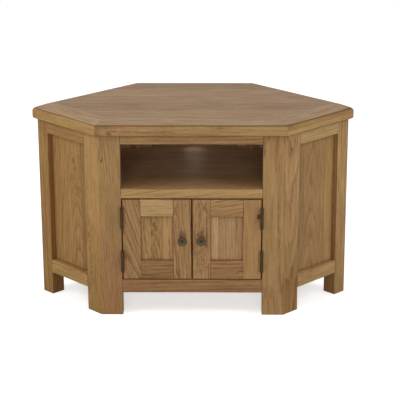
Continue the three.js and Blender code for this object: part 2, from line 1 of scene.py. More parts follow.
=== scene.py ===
"""A corner television cabinet in waxed oak, dressed and set on a pale studio floor."""

import logging
import math
from dataclasses import dataclass, replace
from enum import Enum
from types import SimpleNamespace

import bmesh
import bpy
from mathutils import Matrix, Vector


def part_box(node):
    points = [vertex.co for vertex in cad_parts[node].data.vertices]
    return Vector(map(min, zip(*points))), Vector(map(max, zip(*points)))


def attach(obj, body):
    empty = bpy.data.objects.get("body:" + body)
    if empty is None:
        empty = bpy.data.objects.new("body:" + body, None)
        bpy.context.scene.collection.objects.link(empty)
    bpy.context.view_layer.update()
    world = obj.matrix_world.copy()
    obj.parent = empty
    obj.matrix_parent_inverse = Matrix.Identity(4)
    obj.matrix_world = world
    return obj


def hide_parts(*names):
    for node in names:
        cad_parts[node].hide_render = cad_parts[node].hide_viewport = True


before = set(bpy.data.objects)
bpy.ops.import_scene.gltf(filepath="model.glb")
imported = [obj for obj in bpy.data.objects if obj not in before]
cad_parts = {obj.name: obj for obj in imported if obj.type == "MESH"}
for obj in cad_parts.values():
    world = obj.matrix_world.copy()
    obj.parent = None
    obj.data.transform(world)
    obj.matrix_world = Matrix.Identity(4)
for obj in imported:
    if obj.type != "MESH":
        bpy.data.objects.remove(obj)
bpy.context.view_layer.update()

log = logging.getLogger("cabinet")

Triple = tuple[float, float, float]

MM = 0.001
UP = Vector((0, 0, 1))
ACROSS = Vector((1, 0, 0))
WHITE = (1.0, 1.0, 1.0)


def linear(colour: Triple) -> Triple:
    """The linear light, from 0 to 1, of a colour that a screen shows from 0 to 255."""
    shares = [channel / 255 for channel in colour]
    return tuple(s / 12.92 if s <= 0.04045 else ((s + 0.055) / 1.055) ** 2.4 for s in shares)


def scaled(colour: Triple, factors: Triple) -> Triple:
    """Multiply a colour channel by channel, with no channel over 1."""
    return tuple(min(c * f, 1.0) for c, f in zip(colour, factors))


def middle_of(node: str) -> Vector:
    """The middle of a node's box."""
    return sum(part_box(node), Vector()) / 2


class Reading:
    """What a socket gives out. Plain arithmetic on it adds math nodes."""

    def __init__(self, nodes: "Nodes", socket: bpy.types.NodeSocket) -> None:
        """Keep a socket and the tree that it belongs to."""
        self.nodes, self.socket = nodes, socket

    def __add__(self, other: "Feed") -> "Reading":
        """The sum."""
        return self.nodes.math("ADD", self, other)

    def __sub__(self, other: "Feed") -> "Reading":
        """The difference."""
        return self.nodes.math("SUBTRACT", self, other)

    def __rsub__(self, other: "Feed") -> "Reading":
        """What is left of a plain number."""
        return self.nodes.math("SUBTRACT", other, self)

    def __mul__(self, other: "Feed") -> "Reading":
        """The product."""
        return self.nodes.math("MULTIPLY", self, other)

    def __truediv__(self, other: "Feed") -> "Reading":
        """The quotient."""
        return self.nodes.math("DIVIDE", self, other)

    def __abs__(self) -> "Reading":
        """The number without its sign."""
        return self.nodes.math("ABSOLUTE", self)


Feed = Reading | float | Triple


class Nodes:
    """A node tree under construction, with short calls for what the finishes use."""

    def __init__(self, tree: bpy.types.NodeTree) -> None:
        """Take an empty node tree."""
        self.tree = tree

    def feed(self, socket: bpy.types.NodeSocket, value: Feed) -> None:
        """Link a reading into an input, or write a plain value there.

        Args:
            socket: The input to fill.
            value: A reading, a number or a tuple of numbers.
        """
        if isinstance(value, Reading):
            self.tree.links.new(value.socket, socket)
        else:
            socket.default_value = (*value, 1.0) if socket.type == "RGBA" else value

    def add(
        self, kind: str, inputs: dict[str | int, Feed] | None = None, **settings: object
    ) -> bpy.types.Node:
        """Add a node.

        Args:
            kind: The node's type name.
            inputs: What goes into its inputs, by their names or numbers.
            **settings: Values for the node's own properties.

        Returns:
            The new node.
        """
        node = self.tree.nodes.new(kind)
        for name, value in settings.items():
            setattr(node, name, value)
        for name, value in (inputs or {}).items():
            self.feed(node.inputs[name], value)
        return node

    def read(
        self,
        kind: str,
        inputs: dict[str | int, Feed] | None = None,
        output: str | int = 0,
        **settings: object,
    ) -> Reading:
        """Add a node and read one of its outputs."""
        return Reading(self, self.add(kind, inputs, **settings).outputs[output])

    def math(self, operation: str, *values: Feed, **settings: object) -> Reading:
        """Work out numbers, or vectors where one of the values is a vector.

        Args:
            operation: The math node's operation.
            *values: Its inputs in order.
            **settings: Values for the node's other properties.

        Returns:
            The result.
        """
        readings = [value for value in values if isinstance(value, Reading)]
        plain = all(reading.socket.type != "VECTOR" for reading in readings)
        plain = plain and not any(isinstance(value, tuple) for value in values)
        kind = "ShaderNodeMath" if plain else "ShaderNodeVectorMath"
        output = "Value" if operation in ("LENGTH", "DOT_PRODUCT") else 0
        return self.read(kind, dict(enumerate(values)), output, operation=operation, **settings)

    def here(self) -> Reading:
        """The object's own coordinates."""
        return self.read("ShaderNodeTexCoord", output="Object")

    def parts(self, vector: Feed) -> list[Reading]:
        """Split a vector into its three numbers."""
        outputs = self.add("ShaderNodeSeparateXYZ", {0: vector}).outputs
        return [Reading(self, socket) for socket in outputs]

    def join(self, *values: Feed) -> Reading:
        """Make a vector of up to three numbers."""
        return self.read("ShaderNodeCombineXYZ", dict(enumerate(values)))

    def noise(
        self, vector: Feed, scale: float = 1.0, detail: float = 2.0, roughness: float = 0.5
    ) -> Reading:
        """Read a noise texture, which is about 0.5 on average."""
        inputs = {"Vector": vector, "Scale": scale, "Detail": detail, "Roughness": roughness}
        return self.read("ShaderNodeTexNoise", inputs)

    def span(
        self,
        value: Feed,
        low: Feed,
        high: Feed,
        first: Feed = 0.0,
        last: Feed = 1.0,
        shape: str = "SMOOTHSTEP",
    ) -> Reading:
        """Map the range from low to high softly to the range from first to last."""
        inputs = dict(enumerate((value, low, high, first, last)))
        return self.read("ShaderNodeMapRange", inputs, interpolation_type=shape)

    def ramp(self, value: Feed, low: Feed, high: Feed, first: Feed, last: Feed) -> Reading:
        """Map a range to another evenly."""
        return self.span(value, low, high, first, last, "LINEAR")

    def blend(self, factor: Feed, first: Feed, second: Feed, how: str = "MIX") -> Reading:
        """Blend two colours, with more of the second where the factor is high."""
        inputs = {0: factor, 6: first, 7: second}
        return self.read("ShaderNodeMix", inputs, 2, data_type="RGBA", blend_type=how)

    def between(self, factor: Feed, first: Feed, second: Feed) -> Reading:
        """Blend two numbers, with more of the second where the factor is high."""
        return self.read("ShaderNodeMix", {0: factor, 2: first, 3: second}, data_type="FLOAT")


def socket_name(name: str) -> str:
    """The socket's name of a value, such as Ring Spacing for ring_spacing."""
    return name.replace("_", " ").title()


class Effect(Nodes):
    """A shader node group that several materials share, built once.

    The names of its inputs stand in its three lists. Its outputs are what draw returns.
    """

    title = ""
    vectors, numbers, colours = "vector", "", ""
    built: "Effect | None" = None

    def __init__(self) -> None:
        """Build the group and its named sockets."""
        super().__init__(bpy.data.node_groups.new(self.title, "ShaderNodeTree"))
        kinds = {"Vector": self.vectors, "Float": self.numbers, "Color": self.colours}
        for kind, names in kinds.items():
            self.open_sockets("INPUT", {name: kind for name in names.split()})
        source = self.add("NodeGroupInput").outputs
        names = " ".join(kinds.values()).split()
        self.given = SimpleNamespace(**{n: Reading(self, source[socket_name(n)]) for n in names})
        results = self.draw()
        kinds = {"VALUE": "Float", "RGBA": "Color", "VECTOR": "Vector"}
        self.gives = {name: kinds[result.socket.type] for name, result in results.items()}
        self.open_sockets("OUTPUT", self.gives)
        self.add("NodeGroupOutput", {socket_name(n): result for n, result in results.items()})

    def open_sockets(self, way: str, kinds: dict[str, str]) -> None:
        """Make the group's named sockets.

        Args:
            way: INPUT or OUTPUT.
            kinds: The kind of each socket by its value's name.
        """
        for name, kind in kinds.items():
            self.tree.interface.new_socket(
                name=socket_name(name), in_out=way, socket_type=f"NodeSocket{kind}"
            )

    def draw(self) -> dict[str, Reading]:
        """Make the group's nodes from what it is given, and name what it gives."""
        raise NotImplementedError

    @classmethod
    def into(cls, nodes: Nodes, **values: Feed) -> SimpleNamespace:
        """Put the group into a material, and build it first if no material has it yet.

        Args:
            nodes: The material's tree.
            **values: What goes into the group's inputs, by name.

        Returns:
            What the group gives, by name.
        """
        cls.built = cls.built or cls()
        inputs = {socket_name(name): value for name, value in values.items()}
        outputs = nodes.add("ShaderNodeGroup", inputs, node_tree=cls.built.tree).outputs
        gives = {name: Reading(nodes, outputs[socket_name(name)]) for name in cls.built.gives}
        return SimpleNamespace(**gives)


class OakGrain(Effect):
    """Growth rings, streaks, dashes, pores and ray flecks inside an oak board.

    The vector is in metres, along the grain, across the face and out of the face.
    """

    title = "Oak grain"
    numbers = """
        seed pith_depth pith_offset taper tilt ring_spacing waviness
        stave_width stave_change swirl
    """

    seed_step = 7.31
    stave_shift = (3, 3, 3)
    broad_warp = (3, 14, 14)
    fine_warp = (18, 100, 100)
    fine_warp_share = 0.35
    early_sharpness = 1.8
    early_rise = 0.12
    vigour_range = (0.3, 1.0)
    ring_breaks = (0.32, 0.6, 0.7, 1.1)
    streak_cells = (9, 190, 190)
    streak_range = (0.32, 0.68, 0.0, 1.0)
    dash_cells = (42, 340, 340)
    dash_range = (0.5, 0.66)
    early_dashes = (0.7, 0.45)
    pore_cells = (90, 2400, 2400)
    pore_range = (0.56, 0.7)
    early_pores = (0.75, 0.25)
    fleck_cells = (240, 80, 80)
    fleck_range = (0.54, 0.7)
    drift_cells = (3.5, 13, 13)
    drift_range = (0.7, 1.1)
    strand_cells = (7, 150, 150)
    strand_share = 0.8
    cloud_cells = (9, 34, 34)
    cloud_range = (0.3, 0.7, 0.0, 1.0)
    seam_width = 1.2 * MM

    def draw(self) -> dict[str, Reading]:
        """Make the nodes of the board's figure.

        Returns:
            The masks of the figure.
        """
        given = self.given
        along, across, out = self.parts(given.vector)
        staves = across / given.stave_width
        stave = self.math("ROUND", staves)
        chance = self.chance(given.seed * self.seed_step + stave, "Color")
        _, change, tone = self.parts(chance)
        shift = chance * self.stave_shift
        place = given.vector + shift

        local = across - given.pith_offset + (change - 0.5) * given.stave_change
        local = local + along * given.tilt
        radius = self.math("LENGTH", self.join(local, out + given.pith_depth))
        radius = radius + along * given.taper + given.swirl
        broad = self.noise(place * self.broad_warp, detail=1.5)
        fine = self.noise(place * self.fine_warp)
        warp = (fine * self.fine_warp_share + broad) * given.waviness
        fibre = self.join(along, local + warp + given.swirl, out) + shift
        ring = (radius + warp) / given.ring_spacing
        late = self.math("FRACT", ring)
        early = self.math("POWER", 1.0 - late, self.early_sharpness)
        early = early * self.span(late, 0.0, self.early_rise)
        vigour = self.chance(self.math("FLOOR", ring), "Value")
        streaks = self.noise(fibre * self.streak_cells, detail=4, roughness=0.66)
        rings = early * self.ramp(vigour, 0, 1, *self.vigour_range)

        dashes = self.noise(fibre * self.dash_cells, roughness=0.6)
        more_dashes, least_dashes = self.early_dashes
        pores = self.noise(fibre * self.pore_cells, detail=1)
        more_pores, least_pores = self.early_pores
        drift = self.noise(place * self.drift_cells)
        strand = self.noise(fibre * self.strand_cells, roughness=0.6)
        cloud = self.noise(fibre * self.cloud_cells, detail=3, roughness=0.6)
        edge = (0.5 - abs(staves - stave)) * given.stave_width
        return {
            "rings": rings * self.ramp(streaks, *self.ring_breaks),
            "streaks": self.ramp(streaks, *self.streak_range),
            "dashes": self.span(dashes, *self.dash_range) * (early * more_dashes + least_dashes),
            "pores": self.span(pores, *self.pore_range) * (early * more_pores + least_pores),
            "flecks": self.span(self.noise(place * self.fleck_cells, detail=1), *self.fleck_range),
            "drift": self.span(strand * self.strand_share + drift, *self.drift_range),
            "cloud": self.ramp(cloud, *self.cloud_range),
            "stave": tone,
            "seam": self.span(edge, 0.0, self.seam_width, 1.0, 0.0),
        }

    def chance(self, key: Reading, output: str) -> Reading:
        """Read the chance that belongs to a key, as a number or as three."""
        return self.read("ShaderNodeTexWhiteNoise", {"W": key}, output, noise_dimensions="1D")


class OakKnot(Effect):
    """A knot or swirl, also a patch of painted shadow round a knob: it lifts the rings round a
    point and darkens its heart.
    """

    title = "Oak knot"
    numbers = "along across radius lift heart"

    length_share = 0.42
    heart_share = 0.36
    core_share = 0.3
    raggedness = 0.5

    def draw(self) -> dict[str, Reading]:
        """Make the nodes of one knot.

        Returns:
            The lift of the rings and the mask of the dark heart.
        """
        given = self.given
        along, across, _ = self.parts(given.vector)
        offset = self.join((along - given.along) * self.length_share, across - given.across)
        distance = self.math("LENGTH", offset) / given.radius
        ragged = self.noise(given.vector, scale=110, detail=4, roughness=0.65)
        ragged = distance + self.ramp(ragged, 0, 1, -self.raggedness, self.raggedness)
        core = self.heart_share * self.core_share
        return {
            "swirl": self.span(distance, 0.0, 1.0, given.lift, 0.0, "SMOOTHERSTEP"),
            "heart": self.span(ragged, core, self.heart_share, given.heart, 0.0),
        }


class OakStain(Effect):
    """The stained and waxed colour, roughness and relief of an oak surface, with painted shade in
    its corners, at the door gap and towards its foot.
    """

    title = "Oak stain"
    vectors = ""
    numbers = """
        rings streaks dashes pores flecks drift cloud stave seam knots wear wax foot
        ring_contrast streak_contrast dash_contrast stave_contrast fleck_lift
    """
    colours = "light dark ruddy heart wax_colour"

    mean_rings = 0.2
    mean_dashes = 0.3
    mean_dark = 0.42
    cloud_contrast = 0.22
    pore_shade = 0.32
    wear_lift = 0.22
    wax_and_shade_strength = 0.8
    seam_shade = 0.45
    # Tint of the painted shade towards the foot.
    foot_tint = (0.72, 0.66, 0.55)
    mean_roughness = 0.5
    pore_roughness = 0.2
    streak_roughness = 0.14
    wear_smoothness = 0.1
    mean_height = 0.6
    ring_depth = 0.35
    pore_depth = 0.65
    streak_height = 0.12

    def draw(self) -> dict[str, Reading]:
        """Make the nodes of the stained surface.

        Returns:
            The colour, the roughness and the height.
        """
        given = self.given
        streaks = given.streaks - 0.5
        dark = (given.rings - self.mean_rings) * given.ring_contrast + self.mean_dark
        dark = streaks * given.streak_contrast + dark
        dark = (given.dashes - self.mean_dashes) * given.dash_contrast + dark
        dark = (given.cloud - 0.5) * self.cloud_contrast + dark
        stave = (given.stave - 0.5) * given.stave_contrast
        dark = self.math("ADD", stave, dark, use_clamp=True)
        colour = self.blend(dark, given.light, given.dark)
        colour = self.blend(given.drift, colour, given.ruddy, "MULTIPLY")
        coats = (
            (given.flecks * given.fleck_lift, given.light),
            (given.pores * self.pore_shade, given.heart),
            (given.knots, given.heart),
            (given.seam * self.seam_shade, given.heart),
            (given.wear * self.wear_lift, given.light),
            # Dark wax and painted shade: corners, reveals and the door gap darkened where shade
            # falls.
            (given.wax * self.wax_and_shade_strength, given.wax_colour),
        )
        for share, tint in coats:
            colour = self.blend(share, colour, tint)
        roughness = given.pores * self.pore_roughness + self.mean_roughness
        roughness = streaks * self.streak_roughness + roughness
        height = self.mean_height - given.rings * self.ring_depth
        height = height - given.pores * self.pore_depth
        return {
            # Painted shade towards the foot.
            "colour": self.blend(given.foot, colour, self.foot_tint, "MULTIPLY"),
            "roughness": roughness - given.wear * self.wear_smoothness,
            "height": streaks * self.streak_height + height,
        }


class EdgeWear(Effect):
    """A broken mask along the arrises of a piece, where hands and cloths rub it."""

    title = "Edge wear"
    numbers = "width"

    facing_range = (0.995, 0.9)
    broken_range = (0.35, 0.62)

    def draw(self) -> dict[str, Reading]:
        """Make the nodes of the rubbed edges.

        Returns:
            The mask and the normal of the softened arrises.
        """
        soft = self.read("ShaderNodeBevel", {"Radius": self.given.width}, samples=4)
        flat = self.read("ShaderNodeNewGeometry", output="Normal")
        edge = self.span(self.math("DOT_PRODUCT", soft, flat), *self.facing_range)
        broken = self.noise(self.given.vector, scale=45, detail=3)
        return {"wear": edge * self.span(broken, *self.broken_range), "normal": soft}


class CornerWaxAndShade(Effect):
    """Dark wax in corners and along the edges of recessed panels, with painted shade where
    occlusion darkens them.
    """

    title = "Gathered wax"
    numbers = "reach"

    shut_range = (0.97, 0.5)
    ragged_range = (0.25, 0.6, 0.75, 1.0)

    def draw(self) -> dict[str, Reading]:
        """Make the nodes of the gathered wax and painted shade.

        Returns:
            The mask of the wax and painted shade.
        """
        inputs = {"Distance": self.given.reach}
        # Painted shade: ambient occlusion darkens corners and recesses.
        clear = self.read("ShaderNodeAmbientOcclusion", inputs, "AO", samples=6)
        ragged = self.noise(self.given.vector, scale=140, detail=3)
        shut = self.span(clear, *self.shut_range)
        return {"wax": shut * self.span(ragged, *self.ragged_range)}


class Outline(Effect):
    """Painted shade along the outer edges of a door, beside the gap."""

    title = "Outline"
    numbers = "half_width half_height line"

    ragged_range = (0.3, 0.65, 0.65, 1.0)

    def draw(self) -> dict[str, Reading]:
        """Make the nodes of the line round the door.

        Returns:
            The mask of the painted shade.
        """
        given = self.given
        across, _, up = self.parts(given.vector)
        ragged = self.noise(given.vector, scale=90, detail=3)
        inset = self.math("MINIMUM", given.half_width - abs(across), given.half_height - abs(up))
        line = self.span(inset, 0.0, given.line, 1.0, 0.0)
        return {"wax": line * self.span(ragged, *self.ragged_range)}


class KnobShade(Effect):
    """Painted shade on an aged knob: in its dish, and over the upper half of its face."""

    title = "Knob shade"
    numbers = "radius"

    raggedness = 0.35
    dish_shade_spot = (0.0, 0.16)
    dish_shade_range = (0.08, 0.52, 1.0, 0.0)
    verdigris_spot = (-0.3, -0.2)
    verdigris_range = (0.0, 0.5, 1.0, 0.0)
    upper_shade_range = (-0.1, 0.45)

    def draw(self) -> dict[str, Reading]:
        """Make the nodes of the knob's shading.

        Returns:
            The masks of the painted shade in the dish, of the greenish patch and of the painted
            shade on the upper half.
        """
        across, _, up = self.parts(self.given.vector)
        across, up = across / self.given.radius, up / self.given.radius
        ragged = self.noise(self.given.vector, scale=240)
        ragged = self.ramp(ragged, 0, 1, -self.raggedness, self.raggedness)
        # Painted shade over the upper half and in the dish; the greenish patch is the metal's own
        # colour.
        masks = {"upper": self.span(up + ragged, *self.upper_shade_range)}
        spots = {
            "dish": (self.dish_shade_spot, self.dish_shade_range),
            "verdigris": (self.verdigris_spot, self.verdigris_range),
        }
        for name, ((right, rise), reach) in spots.items():
            distance = self.math("LENGTH", self.join(across - right, up - rise)) + ragged
            masks[name] = self.span(distance, *reach)
        return masks


class TopEdge(Effect):
    """The stain that gathers along the rounded arrises of the top."""

    title = "Top edge"
    numbers = "half_height upper_round lower_round"

    ragged_cells = (12, 90, 90)
    ragged_range = (0.3, 0.7, -4 * MM, 4 * MM)
    face_start_share = 0.08
    face_end_share = 2.5
    upper_share = 0.7
    joint_width = 1.5 * MM

    def draw(self) -> dict[str, Reading]:
        """Make the nodes of the gathered stain.

        Returns:
            The masks of the stained arrises, of the upper face and of the lower half.
        """
        given = self.given
        _, across, _ = self.parts(given.vector)
        ragged = self.noise(given.vector * self.ragged_cells)
        level = across + self.ramp(ragged, *self.ragged_range)
        below = given.half_height - across
        start = given.upper_round * self.face_start_share
        face = self.span(below, start, start * self.face_end_share, 1.0, 0.0)
        upper = self.span(below, given.upper_round, given.upper_round * self.upper_share)
        lower = self.span(across + given.half_height, given.lower_round, 0.0)
        return {
            "stain": self.math("MAXIMUM", upper * (1.0 - face), lower),
            "face": face,
            "lower": self.span(level, 0.0, -self.joint_width),
        }


class Patina(Effect):
    """Aged metal: a hammered or drawn skin with darker hollows and rubbed high spots."""

    title = "Metal patina"
    numbers = "cells relief wear"
    colours = "base hollow rubbed"

    hollow_range = (0.1, 0.36)
    rubbed_share = 0.8
    roughness_range = (0.3, 0.7, 0.42, 0.68)
    wear_smoothness = 0.16
    mottle_height = 0.2

    def draw(self) -> dict[str, Reading]:
        """Make the nodes of the aged metal.

        Returns:
            The colour, the roughness and the height.
        """
        given = self.given
        inputs = {"Vector": given.vector, "Scale": given.cells}
        dents = self.read("ShaderNodeTexVoronoi", inputs, "Distance", feature="SMOOTH_F1")
        mottle = self.noise(given.vector, scale=420, detail=3, roughness=0.65)
        hollow = self.span(dents * mottle, *self.hollow_range)
        colour = self.blend(hollow, given.hollow, given.base)
        roughness = self.ramp(mottle, *self.roughness_range)
        return {
            "colour": self.blend(given.wear * self.rubbed_share, colour, given.rubbed),
            "roughness": roughness - given.wear * self.wear_smoothness,
            "height": mottle * self.mottle_height + dents * given.relief,
        }


class Finish(Nodes):
    """A material under construction, with its shader in place."""

    def __init__(self, name: str) -> None:
        """Make an empty material.

        Args:
            name: The material's name.
        """
        self.material = bpy.data.materials.new(name)
        self.material.use_nodes = True
        super().__init__(self.material.node_tree)
        self.tree.nodes.clear()
        self.shader = self.add("ShaderNodeBsdfPrincipled")
        surface = Reading(self, self.shader.outputs[0])
        self.add("ShaderNodeOutputMaterial", {"Surface": surface})

    def shade(self, inputs: dict[str, Feed]) -> None:
        """Fill the shader's inputs by their names."""
        for name, value in inputs.items():
            self.feed(self.shader.inputs[name], value)


class Facing(Enum):
    """The way a board's best face looks."""

    FRONT = (0.0, -1.0, 0.0)
    REAR = (0.0, 1.0, 0.0)
    LEFT_SIDE = (-1.0, -1.0, 0.0)
    RIGHT_SIDE = (1.0, -1.0, 0.0)
    LEFT_WALL = (-1.0, 1.0, 0.0)
    RIGHT_WALL = (1.0, 1.0, 0.0)
    ABOVE = (0.0, 0.0, 1.0)

    @property
    def normal(self) -> Vector:
        """The unit vector out of the face."""
        return Vector(self.value).normalized()

    @property
    def right(self) -> Vector:
        """The level unit vector to the right, as one looks at the face."""
        return ACROSS if self is Facing.ABOVE else UP.cross(self.normal)


class Grain(Enum):
    """The way the grain runs on a board's best face."""

    LEVEL = "level"
    UPRIGHT = "upright"

    def along(self, facing: Facing) -> Vector:
        """The unit vector along the grain of a board with this facing."""
        return UP if self is Grain.UPRIGHT else facing.right


@dataclass(frozen=True)
class Cut:
    """How a board was sawn from the log, in metres."""

    pith_depth: float = 0.05
    pith_offset: float = 0.0
    taper: float = 0.05
    tilt: float = 0.0
    ring_spacing: float = 0.005
    waviness: float = 0.012


class Sawn(Enum):
    """The usual ways of sawing a board."""

    CROWN = Cut(pith_depth=0.045, taper=0.07)
    RIFT = Cut(pith_depth=0.07, pith_offset=0.09, taper=0.02, waviness=0.01)
    QUARTER = Cut(pith_depth=0.01, pith_offset=0.15, taper=0.012, waviness=0.008)

    def cut(self, ring_spacing: float, **changes: float) -> Cut:
        """This way of sawing a log whose rings have this spacing, with other changes."""
        return replace(self.value, ring_spacing=ring_spacing, **changes)


@dataclass(frozen=True)
class Knot:
    """A knot or swirl on a board's best face, also a patch of painted shadow round a knob, in
    millimetres from the board's middle.
    """

    right: float
    up: float
    radius: float
    lift: float
    heart: float = 0.0


@dataclass(frozen=True)
class Tone:
    """A shade of the waxed oak, as a screen shows its average."""

    average: Triple
    ring_contrast: float = 0.65
    streak_contrast: float = 0.45
    dash_contrast: float = 0.28

    def tints(self, lightness: float) -> dict[str, Triple]:
        """Mix the colours of one board.

        Args:
            lightness: How light the board is beside others of its shade.

        Returns:
            The colours of late and early wood, of hearts, pores and seams, and of gathered wax and
            painted shade.
        """
        factors = {
            "light": (1.34, 1.41, 1.32),
            "dark": (0.52, 0.44, 0.32),
            "heart": (0.23, 0.15, 0.09),
            "wax_colour": (0.3, 0.14, 0.03),
        }
        tints = {name: scaled(linear(self.average), factor) for name, factor in factors.items()}
        return {name: scaled(tint, (lightness,) * 3) for name, tint in tints.items()}


class Shade(Enum):
    """The shades that the cabinet's boards were picked in."""

    STRAW = Tone((166, 138, 95), 0.45, 0.4, 0.25)
    HONEY = Tone((160, 128, 86))
    GOLD = Tone((157, 126, 78))
    AMBER = Tone((152, 121, 80))
    TOFFEE = Tone((146, 114, 77))
    SAND = Tone((158, 126, 91))
    NUT = Tone((141, 108, 75))
    OCHRE = Tone((145, 112, 68))
    RUSSET = Tone((134, 102, 68))
    # Greyed oak of the top's faces; part of their grey is painted sheen.
    DUSTY = Tone((133, 107, 79), 0.3, 0.5, 0.3)
    PALE = Tone((138, 115, 87), 0.3, 0.5, 0.25)
    # Inner oak; part of its lightness is painted light for the dim inside of the cabinet.
    INNER = Tone((162, 130, 100), 0.35, 0.4, 0.3)


@dataclass(frozen=True)
class Board:
    """One board of the cabinet and the look of its wood."""

    node: str
    facing: Facing
    grain: Grain
    shade: Shade
    cut: Cut
    seed: float
    lightness: float = 1.0
    stave_width: float = 10.0
    knots: tuple[Knot, ...] = ()
    polish: float = 0.12
    sheen_tint: Triple = (1.0, 0.91, 0.8)
    gloss: float = 0.0
    # How much shade is painted towards the board's foot.
    foot: float = 0.0
    # How much shade is painted on a level board from its front edge back.
    front: float = 0.0
    # How strongly dark wax and painted shade gather in the board's corners.
    wax: float = 0.1
    figure: float = 1.0
    relief: float = 1.0
    stave_contrast: float = 0.5
    flecks: float = 0.1
    # Faces of the board turned this way get painted shadow, as in a recess.
    reveal: Facing | None = None
    # The door's outer box, round whose edges shade is painted beside the gap.
    door_box: tuple[Vector, Vector] | None = None


@dataclass
class Timber:
    """The wood of one board inside a material, in metres."""

    nodes: Finish
    board: Board
    ruddy: Triple = (0.98, 0.86, 0.96)
    relief: float = 0.15 * MM
    arris: float = 2.2 * MM
    # How far the painted occlusion shade reaches.
    wax_reach: float = 9 * MM
    # Width of the painted shade beside the door gap.
    outline: float = 2.6 * MM
    # Depth of the front strip of painted shade on the shelves.
    front_shade_width: float = 60 * MM
    # Strength and facing range of the painted shadow on reveals.
    reveal_wax: float = 0.62
    reveal_range: tuple[float, float] = (0.9, 0.99)
    foot_shares: tuple[float, float] = (-0.8, 0.5)

    def __post_init__(self) -> None:
        """Find the place along the grain, across the face and out of it, and where wax and painted
        shade darken it.
        """
        nodes, facing = self.nodes, self.board.facing
        self.low, self.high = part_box(self.board.node)
        self.along = self.board.grain.along(facing)
        self.across = facing.normal.cross(self.along)
        axes = Matrix((self.along, self.across, facing.normal)).transposed()
        turn = {"Location": (self.low + self.high) / 2, "Rotation": axes.to_euler()}
        inputs = {"Vector": nodes.here(), **turn}
        self.place = nodes.read("ShaderNodeMapping", inputs, vector_type="TEXTURE")
        self.worn = EdgeWear.into(nodes, vector=self.place, width=self.arris)
        self.wax = self.gather_wax()
        self.foot = self.darken_foot()

    def gather_wax(self) -> Reading:
        """Gather dark wax and painted shade in the board's corners, on its reveal and round its
        door's outer edges.

        Returns:
            The mask of the wax and painted shade.
        """
        nodes, board = self.nodes, self.board
        wax = CornerWaxAndShade.into(nodes, vector=self.place, reach=self.wax_reach).wax * board.wax
        # Painted shadow on the reveal faces beside the panel.
        if board.reveal is not None:
            normal = nodes.read("ShaderNodeNewGeometry", output="Normal")
            turned = nodes.math("DOT_PRODUCT", normal, tuple(board.reveal.normal))
            turned = nodes.span(turned, *self.reveal_range, 0.0, self.reveal_wax)
            wax = nodes.math("MAXIMUM", wax, turned)
        if board.door_box is not None:
            low, high = board.door_box
            # Painted shade along the door's outer edges, beside the gap.
            outline = Outline.into(
                nodes,
                vector=nodes.here() - tuple((low + high) / 2),
                half_width=(high.x - low.x) / 2,
                half_height=(high.z - low.z) / 2,
                line=self.outline,
            )
            wax = nodes.math("MAXIMUM", wax, outline.wax)
        return wax

    def darken_foot(self) -> Reading:
        """Paint shade on the board towards its foot, or on a level board from its front edge back.

        Returns:
            The mask of the painted shade.
        """
        reach, depth, _ = self.nodes.parts(self.place)
        # Shelves: painted shade at the front, against a lightened shelf behind, evens out the
        # light that falls into the bay.
        if self.board.front:
            edge = (self.low.y - self.high.y) / 2
            start, end = edge + self.front_shade_width, edge + 3 * self.front_shade_width
            return self.nodes.span(depth, start, end, self.board.front, 0.0)
        # Painted shade from the foot up.
        half = (self.high.z - self.low.z) / 2
        start, end = (half * share for share in self.foot_shares)
        return self.nodes.span(reach, start, end, self.board.foot, 0.0)

    def add_knots(self, knots: tuple[Knot, ...]) -> tuple[Feed, Feed]:
        """Place knots on the board.

        Args:
            knots: The knots.

        Returns:
            The lift of the rings and the mask of the dark hearts.
        """
        facing = self.board.facing
        rise = facing.normal.cross(facing.right)
        swirl, heart = 0.0, 0.0
        for knot in knots:
            spot = facing.right * (knot.right * MM) + rise * (knot.up * MM)
            placed = OakKnot.into(
                self.nodes,
                vector=self.place,
                along=spot.dot(self.along),
                across=spot.dot(self.across),
                radius=knot.radius * MM,
                lift=knot.lift * MM,
                heart=knot.heart,
            )
            swirl = placed.swirl + swirl
            heart = self.nodes.math("MAXIMUM", placed.heart, heart)
        return swirl, heart

    def stained(self, **changes: object) -> SimpleNamespace:
        """Put the board's figure and stain into the material.

        Args:
            **changes: Fields of the board that are different in this coat.

        Returns:
            The colour, the roughness and the height.
        """
        board = replace(self.board, **changes)
        tone, jointed = board.shade.value, board.stave_width < 1
        swirl, hearts = self.add_knots(board.knots)
        grain = OakGrain.into(
            self.nodes,
            vector=self.place,
            seed=board.seed,
            stave_width=board.stave_width,
            stave_change=board.stave_width if jointed else 0.0,
            swirl=swirl,
            **vars(board.cut),
        )
        return OakStain.into(
            self.nodes,
            knots=hearts,
            wear=self.worn.wear,
            wax=self.wax,
            foot=self.foot,
            ruddy=self.ruddy,
            ring_contrast=tone.ring_contrast * board.figure,
            streak_contrast=tone.streak_contrast * board.figure,
            dash_contrast=tone.dash_contrast,
            stave_contrast=board.stave_contrast if jointed else 0.0,
            fleck_lift=board.flecks,
            **tone.tints(board.lightness),
            **vars(grain),
        )

    def seal(self, coat: SimpleNamespace) -> None:
        """Lead a coat of stain into the shader, with the sheen of its waxed finish.

        Args:
            coat: The colour, the roughness and the height.
        """
        nodes, board = self.nodes, self.board
        bump = nodes.read("ShaderNodeBump", {
            "Distance": self.relief * board.relief,
            "Height": coat.height,
            "Normal": self.worn.normal,
        })
        nodes.shade({
            "Base Color": coat.colour,
            "Roughness": nodes.math("SUBTRACT", coat.roughness, board.gloss, use_clamp=True),
            "Normal": bump,
            "Specular IOR Level": board.polish,
            "Specular Tint": board.sheen_tint,
        })


